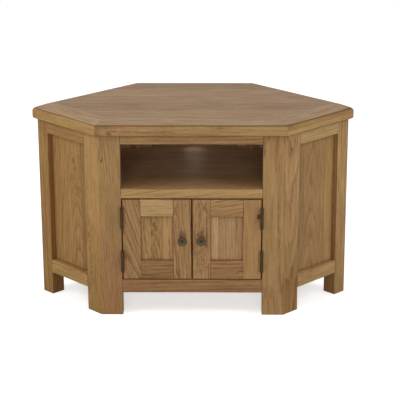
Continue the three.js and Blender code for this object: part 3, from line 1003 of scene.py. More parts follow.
@dataclass(frozen=True)
class MetalFinish:
    """An aged metal, with colours as a screen shows them."""

    name: str
    base: Triple
    hollow: Triple
    rubbed: Triple
    cells: float
    relief: float
    depth: float
    metallic: float = 0.85
    sheen: float = 0.12
    arris: float = 0.5 * MM

    def material(self) -> bpy.types.Material:
        """Build the metal's material.

        Returns:
            The material.
        """
        nodes = Finish(self.name)
        place = nodes.here()
        aged = Patina.into(
            nodes,
            vector=place,
            cells=self.cells,
            relief=self.relief,
            base=linear(self.base),
            hollow=linear(self.hollow),
            rubbed=linear(self.rubbed),
            wear=EdgeWear.into(nodes, vector=place, width=self.arris).wear,
        )
        bump = nodes.read("ShaderNodeBump", {"Distance": self.depth, "Height": aged.height})
        nodes.shade({
            "Base Color": self.tinted(nodes, aged.colour),
            "Roughness": aged.roughness,
            "Normal": bump,
            "Metallic": self.metallic,
            "Specular IOR Level": self.sheen,
        })
        return nodes.material

    def tinted(self, nodes: Finish, colour: Reading) -> Reading:
        """Tint the metal by place, which a plain metal leaves as it is."""
        return colour


@dataclass(frozen=True)
class KnobIron(MetalFinish):
    """Aged iron on a knob, with painted shade in its dish and over its upper half, in metres."""

    middle: Triple = (0.0, 0.0, 0.0)
    radius: float = 14 * MM
    # Colours of the painted shade in the dish and over the upper half.
    dish: Triple = (30, 30, 18)
    shaded: Triple = (78, 58, 40)
    shaded_share: float = 0.8
    verdigris: Triple = (72, 78, 54)

    def tinted(self, nodes: Finish, colour: Reading) -> Reading:
        """Paint shade on the knob's face.

        Args:
            nodes: The material.
            colour: The plain metal's colour.

        Returns:
            The shaded colour.
        """
        masks = KnobShade.into(nodes, vector=nodes.here() - self.middle, radius=self.radius)
        # Painted shade over the upper half and in the dish.
        colour = nodes.blend(masks.upper * self.shaded_share, colour, linear(self.shaded))
        colour = nodes.blend(masks.verdigris, colour, linear(self.verdigris))
        return nodes.blend(masks.dish, colour, linear(self.dish))


IRON = KnobIron("aged iron", (97, 83, 60), (72, 63, 46), (104, 90, 68), 300, 0.5, 0.12 * MM, 0.1)

METALS = {
    "hinge_metal": MetalFinish(
        "dark bronze", (81, 63, 39), (52, 39, 24), (100, 82, 56), 900, 0.3, 0.08 * MM, 0.5
    ),
    "catch_plastic": MetalFinish(
        "brown moulding", (74, 54, 40), (63, 46, 34), (88, 65, 48), 700, 0.2, 0.05 * MM, 0.0, 0.4
    ),
    "fixing_steel": MetalFinish(
        "bronzed steel", (98, 82, 60), (66, 54, 40), (132, 116, 92), 1100, 0.2, 0.05 * MM
    ),
}


def add_piece(name: str, shape: bmesh.types.BMesh) -> bpy.types.Object:
    """Put a finished shape into the scene.

    Args:
        name: The piece's name.
        shape: The shape, which is freed.

    Returns:
        The new object.
    """
    mesh = bpy.data.meshes.new(name)
    shape.to_mesh(mesh)
    shape.free()
    piece = bpy.data.objects.new(name, mesh)
    bpy.context.scene.collection.objects.link(piece)
    return piece


@dataclass
class Screw:
    """A flush slotted screw head, in metres: its middle, its facing and its slot's turn."""

    middle: Vector
    facing: Vector
    turn: float
    radius: float = 2.4 * MM
    slot: float = 0.7 * MM
    height: float = 0.22 * MM
    seat: float = 0.02 * MM
    steps: int = 10

    def cut_into(self, shape: bmesh.types.BMesh) -> None:
        """Add the floor of the slot and the two halves of the head beside it.

        Args:
            shape: The mesh to add to.
        """
        lift = self.facing.to_track_quat("Z", "Y").to_matrix().to_4x4()
        turn = Matrix.Rotation(math.radians(self.turn), 4, "Z")
        place = Matrix.Translation(self.middle) @ lift @ turn
        bmesh.ops.create_cone(
            shape, cap_ends=True, segments=self.steps * 2,
            radius1=self.radius, radius2=self.radius, depth=self.seat * 2, matrix=place,
        )
        for side in (-1, 1):
            self.add_half(shape, place, side)

    def add_half(self, shape: bmesh.types.BMesh, place: Matrix, side: int) -> None:
        """Add the half of the head on one side of its slot.

        Args:
            shape: The mesh to add to.
            place: The head's place.
            side: -1 or 1.
        """
        start = math.asin(self.slot / 2 / self.radius)
        angles = [start + (math.pi - 2 * start) * i / self.steps for i in range(self.steps + 1)]
        rims = []
        for inset, height in ((0.0, 0.0), (0.0, self.height / 2), (self.height, self.height)):
            radius = self.radius - inset
            spots = [(radius * math.cos(a), side * radius * math.sin(a), height) for a in angles]
            rims.append([shape.verts.new(place @ Vector(spot)) for spot in spots])
        count = len(angles)
        for lower, upper in zip(rims, rims[1:]):
            for i in range(count):
                j = (i + 1) % count
                shape.faces.new([lower[i], lower[j], upper[j], upper[i]])
        shape.faces.new(rims[0])
        shape.faces.new(rims[-1])


@dataclass
class Workshop:
    """Turns boards and metal pieces of the frame into finished ones."""

    merge_distance: float = 0.01 * MM
    smooth_angle: float = math.radians(32)
    mitre: float = 0.2 * MM

    def __post_init__(self) -> None:
        """Mix the metals and build the modifier's node tree."""
        self.metals = {slot: metal.material() for slot, metal in METALS.items()}
        self.softener = self.build_softener()

    def build_softener(self) -> bpy.types.NodeTree:
        """Make the geometry nodes that join a mesh's facets and smooth its round faces.

        Returns:
            The node tree for a nodes modifier.
        """
        tree = bpy.data.node_groups.new("Soft facets", "GeometryNodeTree")
        for way in ("INPUT", "OUTPUT"):
            tree.interface.new_socket(
                name="Geometry", in_out=way, socket_type="NodeSocketGeometry"
            )
        tree.is_modifier = True
        nodes = Nodes(tree)
        inputs = {"Geometry": nodes.read("NodeGroupInput"), "Name": "custom_normal"}
        bare = nodes.read("GeometryNodeRemoveAttribute", inputs)
        inputs = {0: bare, "Distance": self.merge_distance}
        inputs = {0: nodes.read("GeometryNodeMergeByDistance", inputs), "Shade Smooth": True}
        faces = nodes.read("GeometryNodeSetShadeSmooth", inputs, domain="FACE")
        inputs = {0: nodes.read("GeometryNodeInputMeshEdgeAngle"), 1: self.smooth_angle}
        gentle = nodes.read(
            "FunctionNodeCompare", inputs, data_type="FLOAT", operation="LESS_THAN"
        )
        inputs = {0: faces, "Shade Smooth": gentle}
        edges = nodes.read("GeometryNodeSetShadeSmooth", inputs, domain="EDGE")
        nodes.add("NodeGroupOutput", {0: edges})
        return tree

    def wear(self, piece: bpy.types.Object, material: bpy.types.Material) -> None:
        """Give a piece one material on all its faces."""
        piece.data.materials.clear()
        piece.data.materials.append(material)

    def dress(self, node: str, material: bpy.types.Material) -> None:
        """Give a node of the frame its material and smooth its round faces.

        Args:
            node: The node's name.
            material: The material.
        """
        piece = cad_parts[node]
        self.wear(piece, material)
        piece.modifiers.new("Soft facets", "NODES").node_group = self.softener

    def dress_board(self, board: Board) -> None:
        """Give a board its wood.

        Args:
            board: The board.
        """
        timber = Timber(Finish(f"oak {board.node}"), board)
        timber.seal(timber.stained())
        self.dress(board.node, timber.nodes.material)

    def dress_mitred(self, front: Board, flank: Board, arris: Triple) -> None:
        """Give a post its wood: two boards glued at a mitre along the arris.

        Args:
            front: The board that faces the room.
            flank: The board that faces the side.
            arris: A point of the arris where the two faces meet.
        """
        nodes = Finish(f"oak {front.node}")
        timber = Timber(nodes, front)
        coat, other = timber.stained(), Timber(nodes, flank).stained()
        apart = (flank.facing.normal - front.facing.normal).normalized()
        side = nodes.math("DOT_PRODUCT", nodes.here() - arris, tuple(apart))
        side = nodes.span(side, -self.mitre, self.mitre)
        timber.seal(SimpleNamespace(
            colour=nodes.blend(side, coat.colour, other.colour),
            roughness=nodes.between(side, coat.roughness, other.roughness),
            height=nodes.between(side, coat.height, other.height),
        ))
        self.dress(front.node, nodes.material)

    def set_screws(self, name: str, body: str, slot: str, screws: list[Screw]) -> None:
        """Set the screws of one fitting.

        Args:
            name: The name of the piece that their heads make.
            body: The body that they ride on.
            slot: The slot of their metal.
            screws: The screws.
        """
        shape = bmesh.new()
        for screw in screws:
            screw.cut_into(shape)
        bmesh.ops.recalc_face_normals(shape, faces=shape.faces)
        piece = add_piece(name, shape)
        self.wear(piece, self.metals[slot])
        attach(piece, body)


@dataclass
class Knob:
    """A dished iron knob on its rose, in metres."""

    workshop: Workshop
    door: str
    rose_radius: float = 9 * MM
    rose_thickness: float = 2 * MM
    neck_radius: float = 5.5 * MM
    head_thickness: float = 9 * MM
    swell_share: float = 0.58
    swell_steps: int = 12
    dish: float = 1.0 * MM
    dish_share: float = 0.7
    segments: int = 32

    def profile(self, radius: float, height: float) -> list[tuple[float, float]]:
        """Draw the knob's profile.

        Args:
            radius: The head's radius.
            height: How far the knob stands out of the door.

        Returns:
            Radius and height of each point, from the back to the middle of the face.
        """
        back = height - self.head_thickness
        points = [
            (0.0, 0.0),
            (self.rose_radius, 0.0),
            (self.rose_radius, self.rose_thickness * 0.6),
            (self.rose_radius * 0.94, self.rose_thickness),
            (self.neck_radius * 1.3, self.rose_thickness * 1.2),
            (self.neck_radius, self.rose_thickness * 2),
            (self.neck_radius * 0.96, back * 0.75),
        ]
        for i in range(self.swell_steps + 1):
            turn = math.pi * (i / self.swell_steps - 0.5)
            wide = 1 - self.swell_share + self.swell_share * math.cos(turn)
            points.append((
                self.neck_radius + (radius - self.neck_radius) * wide,
                back + self.head_thickness * (0.5 + 0.5 * math.sin(turn)),
            ))
        dish_shares = ((1.0, 0.25), (0.8, 0.6), (0.4, 0.95), (0.0, 1.0))
        rim = radius * self.dish_share
        return points + [(rim * out, height - self.dish * deep) for out, deep in dish_shares]

    def turned(
        self, name: str, base: Vector, profile: list[tuple[float, float]]
    ) -> bpy.types.Object:
        """Turn a profile round an axis that points to the front.

        Args:
            name: The piece's name.
            base: Where the axis meets the door.
            profile: Radius and height of each point, from axis to axis.

        Returns:
            The piece, linked to the scene.
        """
        shape = bmesh.new()
        rings = []
        for radius, height in profile:
            count = self.segments if radius > 0 else 1
            angles = [2 * math.pi * i / self.segments for i in range(count)]
            spots = [Vector((radius * math.cos(a), -height, radius * math.sin(a))) for a in angles]
            rings.append([shape.verts.new(base + spot) for spot in spots])
        for lower, upper in zip(rings, rings[1:]):
            for i in range(self.segments):
                j = i + 1
                corners = [(lower, i), (lower, j), (upper, j), (upper, i)]
                corners = [ring[k % len(ring)] for ring, k in corners]
                shape.faces.new(list(dict.fromkeys(corners)))
        bmesh.ops.recalc_face_normals(shape, faces=shape.faces)
        for face in shape.faces:
            face.smooth = True
        return add_piece(name, shape)

    def build(self) -> None:
        """Turn the knob in place of the plain one."""
        node = f"{self.door}_knob"
        low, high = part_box(node)
        middle = (low + high) / 2
        radius = (high.x - low.x) / 2
        base = Vector((middle.x, high.y, middle.z))
        finish = replace(IRON, middle=tuple(middle), radius=radius).material()
        piece = self.turned(f"{node}_turned", base, self.profile(radius, high.y - low.y))
        smooth = piece.modifiers.new("Fine turning", "SUBSURF")
        smooth.levels = smooth.render_levels = 2
        self.workshop.wear(piece, finish)
        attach(piece, self.door)
        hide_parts(node)


@dataclass
class Hinge:
    """A butt hinge with five knuckles, its pin and its six screws, in metres."""

    workshop: Workshop
    door: str
    level: str
    gap: float = 3 * MM
    leaf_thickness: float = 1.2 * MM
    screw_shares: tuple[float, ...] = (0.14, 0.5, 0.86)
    screw_depth_share: float = 0.62

    def build(self) -> None:
        """Dress the hinge's leaves and pin and set its screws."""
        name = f"{self.door}_{self.level}_hinge"
        for part in ("frame_leaf", "door_leaf", "pin"):
            self.workshop.dress(f"{name}_{part}", self.workshop.metals["hinge_metal"])
        axis = middle_of(f"{name}_pin").x
        outward = math.copysign(1, axis)
        self.add_screws(f"{name}_frame_leaf", "carcass", axis, outward)
        self.add_screws(f"{name}_door_leaf", self.door, axis, -outward)

    def add_screws(self, leaf: str, body: str, axis: float, side: float) -> None:
        """Set three screws in a leaf, on the side that shows when the door is open.

        Args:
            leaf: The leaf's name.
            body: The body that the leaf rides on.
            axis: Where the hinge's pin stands across the cabinet.
            side: The side of the pin that the leaf lies on, -1 or 1.
        """
        low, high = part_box(leaf)
        surface = axis + side * (self.gap / 2 - self.leaf_thickness)
        depth = low.y + (high.y - low.y) * self.screw_depth_share
        self.workshop.set_screws(f"{leaf}_screws", body, "hinge_metal", [
            Screw(
                Vector((surface, depth, low.z + (high.z - low.z) * share)),
                ACROSS * -side, 25 + 50 * i,
            )
            for i, share in enumerate(self.screw_shares)
        ])


@dataclass
class Door:
    """A framed and panelled door with its knob and hinges, in metres."""

    workshop: Workshop
    body: str
    boards: dict[str, Board]
    strike_shares: tuple[float, ...] = (0.2, 0.8)
    strike_screw: float = 1.9 * MM

    def build(self) -> None:
        """Dress the door and build its fittings."""
        boxes = [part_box(f"{self.body}_{part}") for part in self.boards]
        low = Vector([min(box[0][i] for box in boxes) for i in range(3)])
        high = Vector([max(box[1][i] for box in boxes) for i in range(3)])
        for part, board in self.boards.items():
            board = replace(board, node=f"{self.body}_{part}", door_box=(low, high))
            self.workshop.dress_board(board)
        Knob(self.workshop, self.body).build()
        for level in ("upper", "lower"):
            Hinge(self.workshop, self.body, level).build()
        for part in ("knob_screw", "strike"):
            self.workshop.dress(f"{self.body}_{part}", self.workshop.metals["fixing_steel"])
        self.add_strike_screws()

    def add_strike_screws(self) -> None:
        """Set two screws in the strike plate on the door's back."""
        strike = f"{self.body}_strike"
        low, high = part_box(strike)
        screws = []
        for i, share in enumerate(self.strike_shares):
            spot = Vector((middle_of(strike).x, high.y, low.z + (high.z - low.z) * share))
            screws.append(Screw(spot, Facing.REAR.normal, 20 + 70 * i, self.strike_screw))
        self.workshop.set_screws(f"{strike}_screws", self.body, "fixing_steel", screws)


def upright(shade: Shade, cut: Cut, seed: float, **rest: object) -> Board:
    """A board on the front with its grain upright, still without a name."""
    return Board("", Facing.FRONT, Grain.UPRIGHT, shade, cut, seed, wax=0.8, **rest)


def level(shade: Shade, cut: Cut, seed: float, **rest: object) -> Board:
    """A board on the front with its grain level, still without a name."""
    return Board("", Facing.FRONT, Grain.LEVEL, shade, cut, seed, wax=0.8, **rest)


LEFT_DOOR = {
    "hinge_stile": upright(
        Shade.NUT, Cut(0.04, 0.03, taper=0.08, tilt=-0.24, ring_spacing=0.0075), 1, figure=1.4
    ),
    "lock_stile": upright(
        Shade.NUT, Sawn.RIFT.cut(0.008, waviness=0.02, taper=0.04), 2,
        figure=1.3, lightness=1.06, knots=(
            # The first four knots are painted shadow round the knob, above it and round its rose.
            Knot(1, 16, 18, 4, 0.55), Knot(-6, 12, 16, 2, 0.5), Knot(8, 13, 15, 2, 0.45),
            Knot(0, 2, 44, 0, 0.45), Knot(-24, 90, 20, 6, 0.35),
        ),
    ),
    "top_rail": level(Shade.STRAW, Sawn.QUARTER.cut(0.006), 3, lightness=0.96),
    "bottom_rail": level(Shade.RUSSET, Sawn.RIFT.cut(0.009, taper=0.05), 4, lightness=0.92),
    "panel": upright(
        Shade.TOFFEE, Sawn.RIFT.cut(0.008, waviness=0.024), 76,
        figure=1.1, lightness=1.03, stave_width=0.034, knots=(
            Knot(-17, 56, 13, 4, 0.4), Knot(-8, 42, 16, -6, 0.55), Knot(0, 30, 16, 6, 0.45),
            Knot(-15, 14, 15, -6, 0.45), Knot(-4, 6, 10, 4, 0.5), Knot(-8, 28, 50, 10),
        ),
    ),
}

RIGHT_DOOR = {
    "lock_stile": upright(
        Shade.NUT, Sawn.RIFT.cut(0.008, waviness=0.03), 6, figure=1.3, lightness=1.08, knots=(
            # The first four knots are painted shadow round the knob, above it and round its rose.
            Knot(0, 16, 18, 4, 0.6), Knot(-9, 12, 18, 2, 0.6), Knot(-15, 1, 16, 2, 0.5),
            Knot(0, 2, 44, 0, 0.45), Knot(-3, -34, 22, 34, 0.15), Knot(4, -60, 22, -30, 0.15),
            Knot(-10, -82, 16, 12, 0.2), Knot(8, 98, 13, 6, 0.3), Knot(-6, 106, 10, -6, 0.3),
        ),
    ),
    "hinge_stile": upright(
        Shade.AMBER, Sawn.QUARTER.cut(0.006), 7, lightness=0.98, figure=0.7,
        knots=(Knot(17, 73, 14, 8, 1.0), Knot(21, 72, 14, 0, 1.0)),
    ),
    "top_rail": level(
        Shade.AMBER, Cut(pith_offset=0.07, tilt=-0.13, ring_spacing=0.006, waviness=0.02), 8,
        lightness=0.92, figure=1.1,
    ),
    "bottom_rail": level(
        Shade.NUT, Sawn.RIFT.cut(0.008), 9, figure=1.2, knots=(Knot(46, -4, 12, 10, 0.5),)
    ),
    "panel": upright(
        Shade.SAND, Sawn.RIFT.cut(0.007, waviness=0.016), 61,
        lightness=0.99, figure=0.55, stave_width=0.05, stave_contrast=0.8,
    ),
}


@dataclass
class Top:
    """The top: a field of staves in a mitred border with rounded arrises, in metres."""

    workshop: Workshop
    upper_round: float = 5 * MM
    lower_round: float = 4 * MM
    field_cut: Cut = Cut(taper=0.02, ring_spacing=0.006, waviness=0.008)
    border_cut: Cut = Cut(0.12, 0.02, taper=0.01, ring_spacing=0.011, waviness=0.01)
    stave_width: float = 0.086
    polish: float = 0.07
    knots: tuple[Knot, ...] = (
        Knot(-245, -3, 18, 3, 0.4), Knot(-231, -2, 19, 3, 0.45), Knot(-239, -10, 20, 4, 0.55),
    )

    def build(self) -> None:
        """Dress the field and the three borders."""
        self.workshop.dress_board(Board(
            "top_field", Facing.ABOVE, Grain.LEVEL, Shade.DUSTY, self.field_cut, 31,
            stave_width=self.stave_width, polish=self.polish, stave_contrast=0.25, figure=0.8,
        ))
        front = self.border("front", Facing.FRONT, Shade.STRAW, 32, 0.84, self.knots)
        left = self.border("left", Facing.LEFT_SIDE, Shade.HONEY, 33, 0.97)
        right = self.border("right", Facing.RIGHT_SIDE, Shade.AMBER, 34, 0.92)
        self.dress_border(front, Shade.AMBER, 0.85, 1.06)
        self.dress_border(left, Shade.GOLD, 0.5, 1.12)
        self.dress_border(right, Shade.HONEY, 0.8, 1.04)

    def border(
        self,
        side: str,
        facing: Facing,
        shade: Shade,
        seed: float,
        lightness: float,
        knots: tuple[Knot, ...] = (),
    ) -> Board:
        """The board of the border on one side, with the shade of the upper half of its edge."""
        node, looks = f"top_{side}_border", {"knots": knots, "polish": self.polish}
        return Board(node, facing, Grain.LEVEL, shade, self.border_cut, seed, lightness, **looks)

    def dress_border(self, board: Board, lower: Shade, line: float, face_lightness: float) -> None:
        """Dress a border: its face is greyed like the field, partly by painted sheen, and stain
        gathers on its arrises.

        Args:
            board: The border.
            lower: The shade of the lower half of its edge.
            line: How dark the stain on the arrises is, from 0 to 1.
            face_lightness: How light the face is beside the field.
        """
        nodes = Finish(f"oak {board.node}")
        timber = Timber(nodes, board)
        edge = timber.stained()
        under = timber.stained(shade=lower, lightness=1.0)
        # The face's grey is partly painted sheen.
        face = timber.stained(shade=Shade.PALE, knots=(), lightness=face_lightness)
        masks = TopEdge.into(
            nodes,
            vector=timber.place,
            half_height=(timber.high.z - timber.low.z) / 2,
            upper_round=self.upper_round,
            lower_round=self.lower_round,
        )
        colour = nodes.blend(masks.lower, edge.colour, under.colour)
        colour = nodes.blend(masks.face, colour, face.colour)
        stain = Shade.RUSSET.value.tints(1.0)["dark"]
        edge.colour = nodes.blend(masks.stain * line, colour, stain)
        timber.seal(edge)
        self.workshop.dress(board.node, nodes.material)


@dataclass
class Carcass:
    """The posts, rails, panels and inner boards that the top and doors are fixed to."""

    workshop: Workshop
    panel_stave: float = 0.095
    front_post_face: float = 0.065
    ladder: tuple[Knot, ...] = tuple(
        Knot(-30 + 5 * (i % 2), -20 * i, 15, 12 - 24 * (i % 2), 0.2) for i in range(11)
    )
    flame: tuple[Knot, ...] = (
        Knot(14, 135, 17, 12, 0.5), Knot(20, 110, 20, -16, 0.3), Knot(16, 85, 18, 14, 0.3),
        Knot(24, 55, 20, -14, 0.2), Knot(34, 100, 50, 12),
    )
    board_cut: Cut = Sawn.RIFT.cut(0.007)

    def build(self) -> None:
        """Dress all boards of the carcass."""
        for front, flank in self.front_posts():
            low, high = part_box(front.node)
            inner, side = (high.x, -1) if flank.facing is Facing.LEFT_SIDE else (low.x, 1)
            arris = (inner + side * self.front_post_face, low.y, 0)
            self.workshop.dress_mitred(front, flank, arris)
        for board in (*self.other_posts(), *self.front_rails(), *self.walls(), *self.shelves()):
            self.workshop.dress_board(board)

    def post(
        self, node: str, facing: Facing, shade: Shade, cut: Cut, seed: float, **rest: object
    ) -> Board:
        """A board with its grain upright under a node's name, with painted shade towards its foot.
        """
        return Board(node, facing, Grain.UPRIGHT, shade, cut, seed, **{"foot": 0.5, **rest})

    def front_posts(self) -> list[tuple[Board, Board]]:
        """Pick the front and the flank of the two front posts.

        Returns:
            The front and the flank of each post.
        """
        left, right = "front_left_post", "front_right_post"
        # The flanks get more painted shade at the foot than the fronts.
        return [
            (
                self.post(
                    left, Facing.FRONT, Shade.TOFFEE, Cut(0.06, 0.11, 0.01, -0.07, 0.0055), 11,
                    foot=0.2, lightness=0.95, figure=0.75, knots=(Knot(0, 205, 10, 2, 0.8),),
                ),
                self.post(
                    left, Facing.LEFT_SIDE, Shade.GOLD, Cut(0.03, 0.12, 0.015, 0.0, 0.007), 12,
                    foot=0.9, lightness=1.08, flecks=0.3, figure=0.8, knots=self.ladder,
                ),
            ),
            (
                self.post(
                    right, Facing.FRONT, Shade.TOFFEE, Cut(0.1, 0.04, 0.015, 0.0, 0.007), 13,
                    foot=0.0, lightness=0.96,
                ),
                self.post(
                    right, Facing.RIGHT_SIDE, Shade.HONEY,
                    Cut(taper=-0.06, ring_spacing=0.008, waviness=0.016), 14,
                    foot=1.0, figure=1.3,
                ),
            ),
        ]

    def other_posts(self) -> list[Board]:
        """Pick the posts at the sides and at the rear.

        Returns:
            Their boards.
        """
        left, right = Facing.LEFT_SIDE, Facing.RIGHT_SIDE
        cut = self.board_cut
        return [
            # The side posts' reveals get painted shadow.
            self.post("left_side_post", left, Shade.OCHRE, cut, 15, reveal=right),
            self.post("right_side_post", right, Shade.HONEY, cut, 16, reveal=left),
            self.post("rear_left_post", Facing.LEFT_WALL, Shade.NUT, cut, 17),
            self.post("rear_right_post", Facing.RIGHT_WALL, Shade.NUT, cut, 18),
        ]

    def front_rails(self) -> list[Board]:
        """Pick the three rails across the front.

        Returns:
            Their boards.
        """
        cut = Sawn.RIFT.cut(0.009)
        sloped = Cut(pith_offset=0.08, tilt=-0.1, ring_spacing=0.0045, waviness=0.008)
        looks = {
            "top": (Shade.TOFFEE, cut, 19),
            "middle": (Shade.HONEY, sloped, 20, 0.95),
            "bottom": (Shade.RUSSET, cut, 21),
        }
        return [
            Board(f"front_{place}_rail", Facing.FRONT, Grain.LEVEL, *look)
            for place, look in looks.items()
        ]

    def walls(self) -> list[Board]:
        """Pick the rails and panels of the five framed walls.

        Returns:
            Their boards.
        """
        hidden = (Shade.TOFFEE, Shade.NUT, Shade.INNER)
        looks = {
            "left_side": (Facing.LEFT_SIDE, Shade.OCHRE, Shade.GOLD, Shade.OCHRE),
            "right_side": (Facing.RIGHT_SIDE, Shade.STRAW, Shade.HONEY, Shade.AMBER),
            "left_wall": (Facing.LEFT_WALL, *hidden),
            "right_wall": (Facing.RIGHT_WALL, *hidden),
            "rear": (Facing.REAR, *hidden),
        }
        crown, cut = Sawn.CROWN.cut(0.007, taper=0.08), self.board_cut
        boards = []
        for i, (wall, (facing, top, bottom, panel)) in enumerate(looks.items()):
            seed = 40 + 3 * i
            boards += [
                Board(f"{wall}_top_rail", facing, Grain.LEVEL, top, cut, seed, 1.04, figure=0.6),
                Board(f"{wall}_bottom_rail", facing, Grain.LEVEL, bottom, cut, seed + 1),
                Board(
                    f"{wall}_panel", facing, Grain.UPRIGHT, panel, crown, seed + 2,
                    stave_width=self.panel_stave, stave_contrast=0.3,
                    figure=0.6 if wall == "right_side" else 0.8,
                    knots=self.flame if wall == "left_side" else (),
                    wax=0.2 if panel is Shade.INNER else 0.5,
                ),
            ]
        return boards

    def shelves(self) -> list[Board]:
        """Pick the shelf of the bay and the bottom of the cupboard.

        Returns:
            Their boards.
        """
        cut = Sawn.CROWN.cut(0.007, taper=0.03)
        # Painted light: the shelves are lightened and shaded at their front edge, evening out the
        # light in the bay.
        return [
            Board(
                node, Facing.ABOVE, Grain.LEVEL, Shade.INNER, cut, 60 + i, 1.25,
                self.panel_stave, polish=0.8, sheen_tint=(1.0, 0.7, 0.45), gloss=0.02,
                relief=2.0, stave_contrast=0.2, front=1.0,
            )
            for i, node in enumerate(("shelf", "bottom_board"))
        ]


@dataclass
class Catch:
    """The double catch that holds both doors, under the shelf, in metres."""

    workshop: Workshop
    ear: float = 3 * MM
    flange: float = 4 * MM
    screw: float = 1.8 * MM

    def build(self) -> None:
        """Dress the catch's moulding and set a screw in each of its ears."""
        self.workshop.dress("door_catch", self.workshop.metals["catch_plastic"])
        low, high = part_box("door_catch")
        depth, top = middle_of("door_catch").y, high.z - self.flange
        self.workshop.set_screws("door_catch_screws", "carcass", "fixing_steel", [
            Screw(Vector((x, depth, top)), -UP, 35, self.screw)
            for x in (low.x + self.ear, high.x - self.ear)
        ])


@dataclass(frozen=True)
class Lamp:
    """A soft white rectangular lamp, in metres and watts."""

    name: str
    place: Triple
    size: tuple[float, float]
    power: float


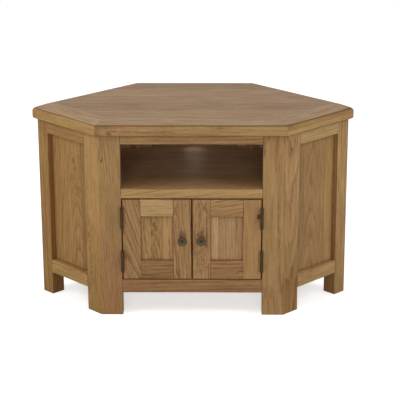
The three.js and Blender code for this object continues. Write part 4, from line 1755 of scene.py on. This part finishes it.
@dataclass
class Studio:
    """The pale floor, the soft lamps and the camera, in metres."""

    eye: Triple = (0.0956, -4.389, 1.7439)
    pitch: float = math.radians(18.351)
    yaw: float = math.radians(-0.981)
    roll: float = math.radians(-0.209)
    focal_pixels: float = 1479.05
    picture_pixels: float = 400.0
    sensor: float = 36.0
    aim: Triple = (0.0, 0.0, 0.3)
    sky: float = 0.3
    floor_radius: float = 30.0
    floor_glow: float = 0.56
    floor_seen: float = 0.9
    floor_bounce: float = 0.5
    fade_range: tuple[float, float] = (1.2, 4.5)
    palest_speckle: float = 0.96
    lamps: tuple[Lamp, ...] = (
        Lamp("key", (-2.3, -1.3, 2.4), (1.5, 1.3), 32.0),
        Lamp("fill", (2.3, -1.3, 2.3), (1.5, 1.3), 25.0),
        Lamp("front", (0.0, -5.2, 1.65), (3.2, 1.2), 125.0),
        Lamp("overhead", (0.0, 0.3, 3.2), (3.0, 2.4), 20.0),
        Lamp("rear", (0.0, 2.8, 3.3), (2.4, 0.8), 26.0),
    )

    def build(self) -> None:
        """Set up the light, the floor and the camera."""
        self.add_sky()
        self.add_floor()
        self.add_camera()
        for lamp in self.lamps:
            self.add_lamp(lamp)
        bpy.context.scene.view_settings.view_transform = "Standard"

    def seen_directly(self, nodes: Nodes) -> Reading:
        """Find the rays that see the background itself, or mirrored or through glass.

        Args:
            nodes: The tree that the mask is used in.

        Returns:
            The mask of those rays.
        """
        path = nodes.add("ShaderNodeLightPath").outputs
        camera, glossy, through = (
            Reading(nodes, path[f"Is {kind} Ray"]) for kind in ("Camera", "Glossy", "Transmission")
        )
        return nodes.math("MAXIMUM", nodes.math("MAXIMUM", camera, glossy), through)

    def add_sky(self) -> None:
        """Light the scene evenly, with a white background behind it."""
        world = bpy.data.worlds.new("studio")
        bpy.context.scene.world = world
        world.use_nodes = True
        world.node_tree.nodes.clear()
        nodes = Nodes(world.node_tree)
        soft, white = (
            nodes.read("ShaderNodeBackground", {"Color": WHITE, "Strength": strength})
            for strength in (self.sky, 1.0)
        )
        inputs = {0: self.seen_directly(nodes), 1: soft, 2: white}
        nodes.add("ShaderNodeOutputWorld", {"Surface": nodes.read("ShaderNodeMixShader", inputs)})

    def add_floor(self) -> None:
        """Lay the pale floor, which keeps a light shadow of the cabinet and fades to white."""
        shape = bmesh.new()
        bmesh.ops.create_circle(shape, cap_ends=True, segments=96, radius=self.floor_radius)
        floor = add_piece("floor", shape)
        material = bpy.data.materials.new("pale floor")
        material.use_nodes = True
        material.node_tree.nodes.clear()
        nodes = Nodes(material.node_tree)
        place = nodes.here()
        speckle = nodes.ramp(nodes.noise(place, scale=300), 0, 1, self.palest_speckle, 1.0)
        seen = self.seen_directly(nodes)
        far = nodes.span(nodes.math("LENGTH", place), *self.fade_range)
        pale = nodes.between(seen, self.floor_bounce, nodes.between(far, self.floor_seen, 0.0))
        matt = nodes.read("ShaderNodeBsdfDiffuse", {"Color": pale * speckle})
        glow = seen * nodes.between(far, self.floor_glow, 1.0)
        white = nodes.read("ShaderNodeEmission", {"Color": WHITE, "Strength": glow})
        both = nodes.read("ShaderNodeAddShader", {0: matt, 1: white})
        nodes.add("ShaderNodeOutputMaterial", {"Surface": both})
        floor.data.materials.append(material)

    def add_camera(self) -> None:
        """Stand the camera where the photograph was taken from."""
        level_ahead = Vector((math.sin(self.yaw), math.cos(self.yaw), 0))
        level_right = level_ahead.cross(UP)
        ahead = level_ahead * math.cos(self.pitch) - UP * math.sin(self.pitch)
        upward = level_ahead * math.sin(self.pitch) + UP * math.cos(self.pitch)
        right = level_right * math.cos(self.roll) + upward * math.sin(self.roll)
        above = upward * math.cos(self.roll) - level_right * math.sin(self.roll)
        data = bpy.data.cameras.new("camera")
        data.sensor_width = self.sensor
        data.lens = self.focal_pixels * self.sensor / self.picture_pixels
        camera = bpy.data.objects.new("camera", data)
        turn = Matrix((right, above, -ahead)).transposed().to_4x4()
        camera.matrix_world = Matrix.Translation(self.eye) @ turn
        bpy.context.scene.collection.objects.link(camera)
        bpy.context.scene.camera = camera

    def add_lamp(self, lamp: Lamp) -> None:
        """Hang a lamp that points at the cabinet.

        Args:
            lamp: The lamp.
        """
        data = bpy.data.lights.new(lamp.name, "AREA")
        data.shape = "RECTANGLE"
        data.size, data.size_y = lamp.size
        data.energy = lamp.power
        light = bpy.data.objects.new(lamp.name, data)
        light.location = lamp.place
        beam = Vector(self.aim) - light.location
        light.rotation_euler = beam.to_track_quat("-Z", "Y").to_euler()
        bpy.context.scene.collection.objects.link(light)


def main() -> None:
    """Build and dress the cabinet in order and set it in the studio."""
    logging.basicConfig(level=logging.INFO, format="%(message)s")
    Studio().build()
    log.info("studio: floor, lamps and camera")
    workshop = Workshop()
    Top(workshop).build()
    log.info("top: field and three borders")
    Carcass(workshop).build()
    log.info("carcass: posts, rails, panels and boards")
    for body, boards in (("left_door", LEFT_DOOR), ("right_door", RIGHT_DOOR)):
        Door(workshop, body, boards).build()
        log.info("%s: frame, panel, knob, hinges and strike", body)
    Catch(workshop).build()
    log.info("catch: moulding and screws")


if __name__ == "__main__":
    main()
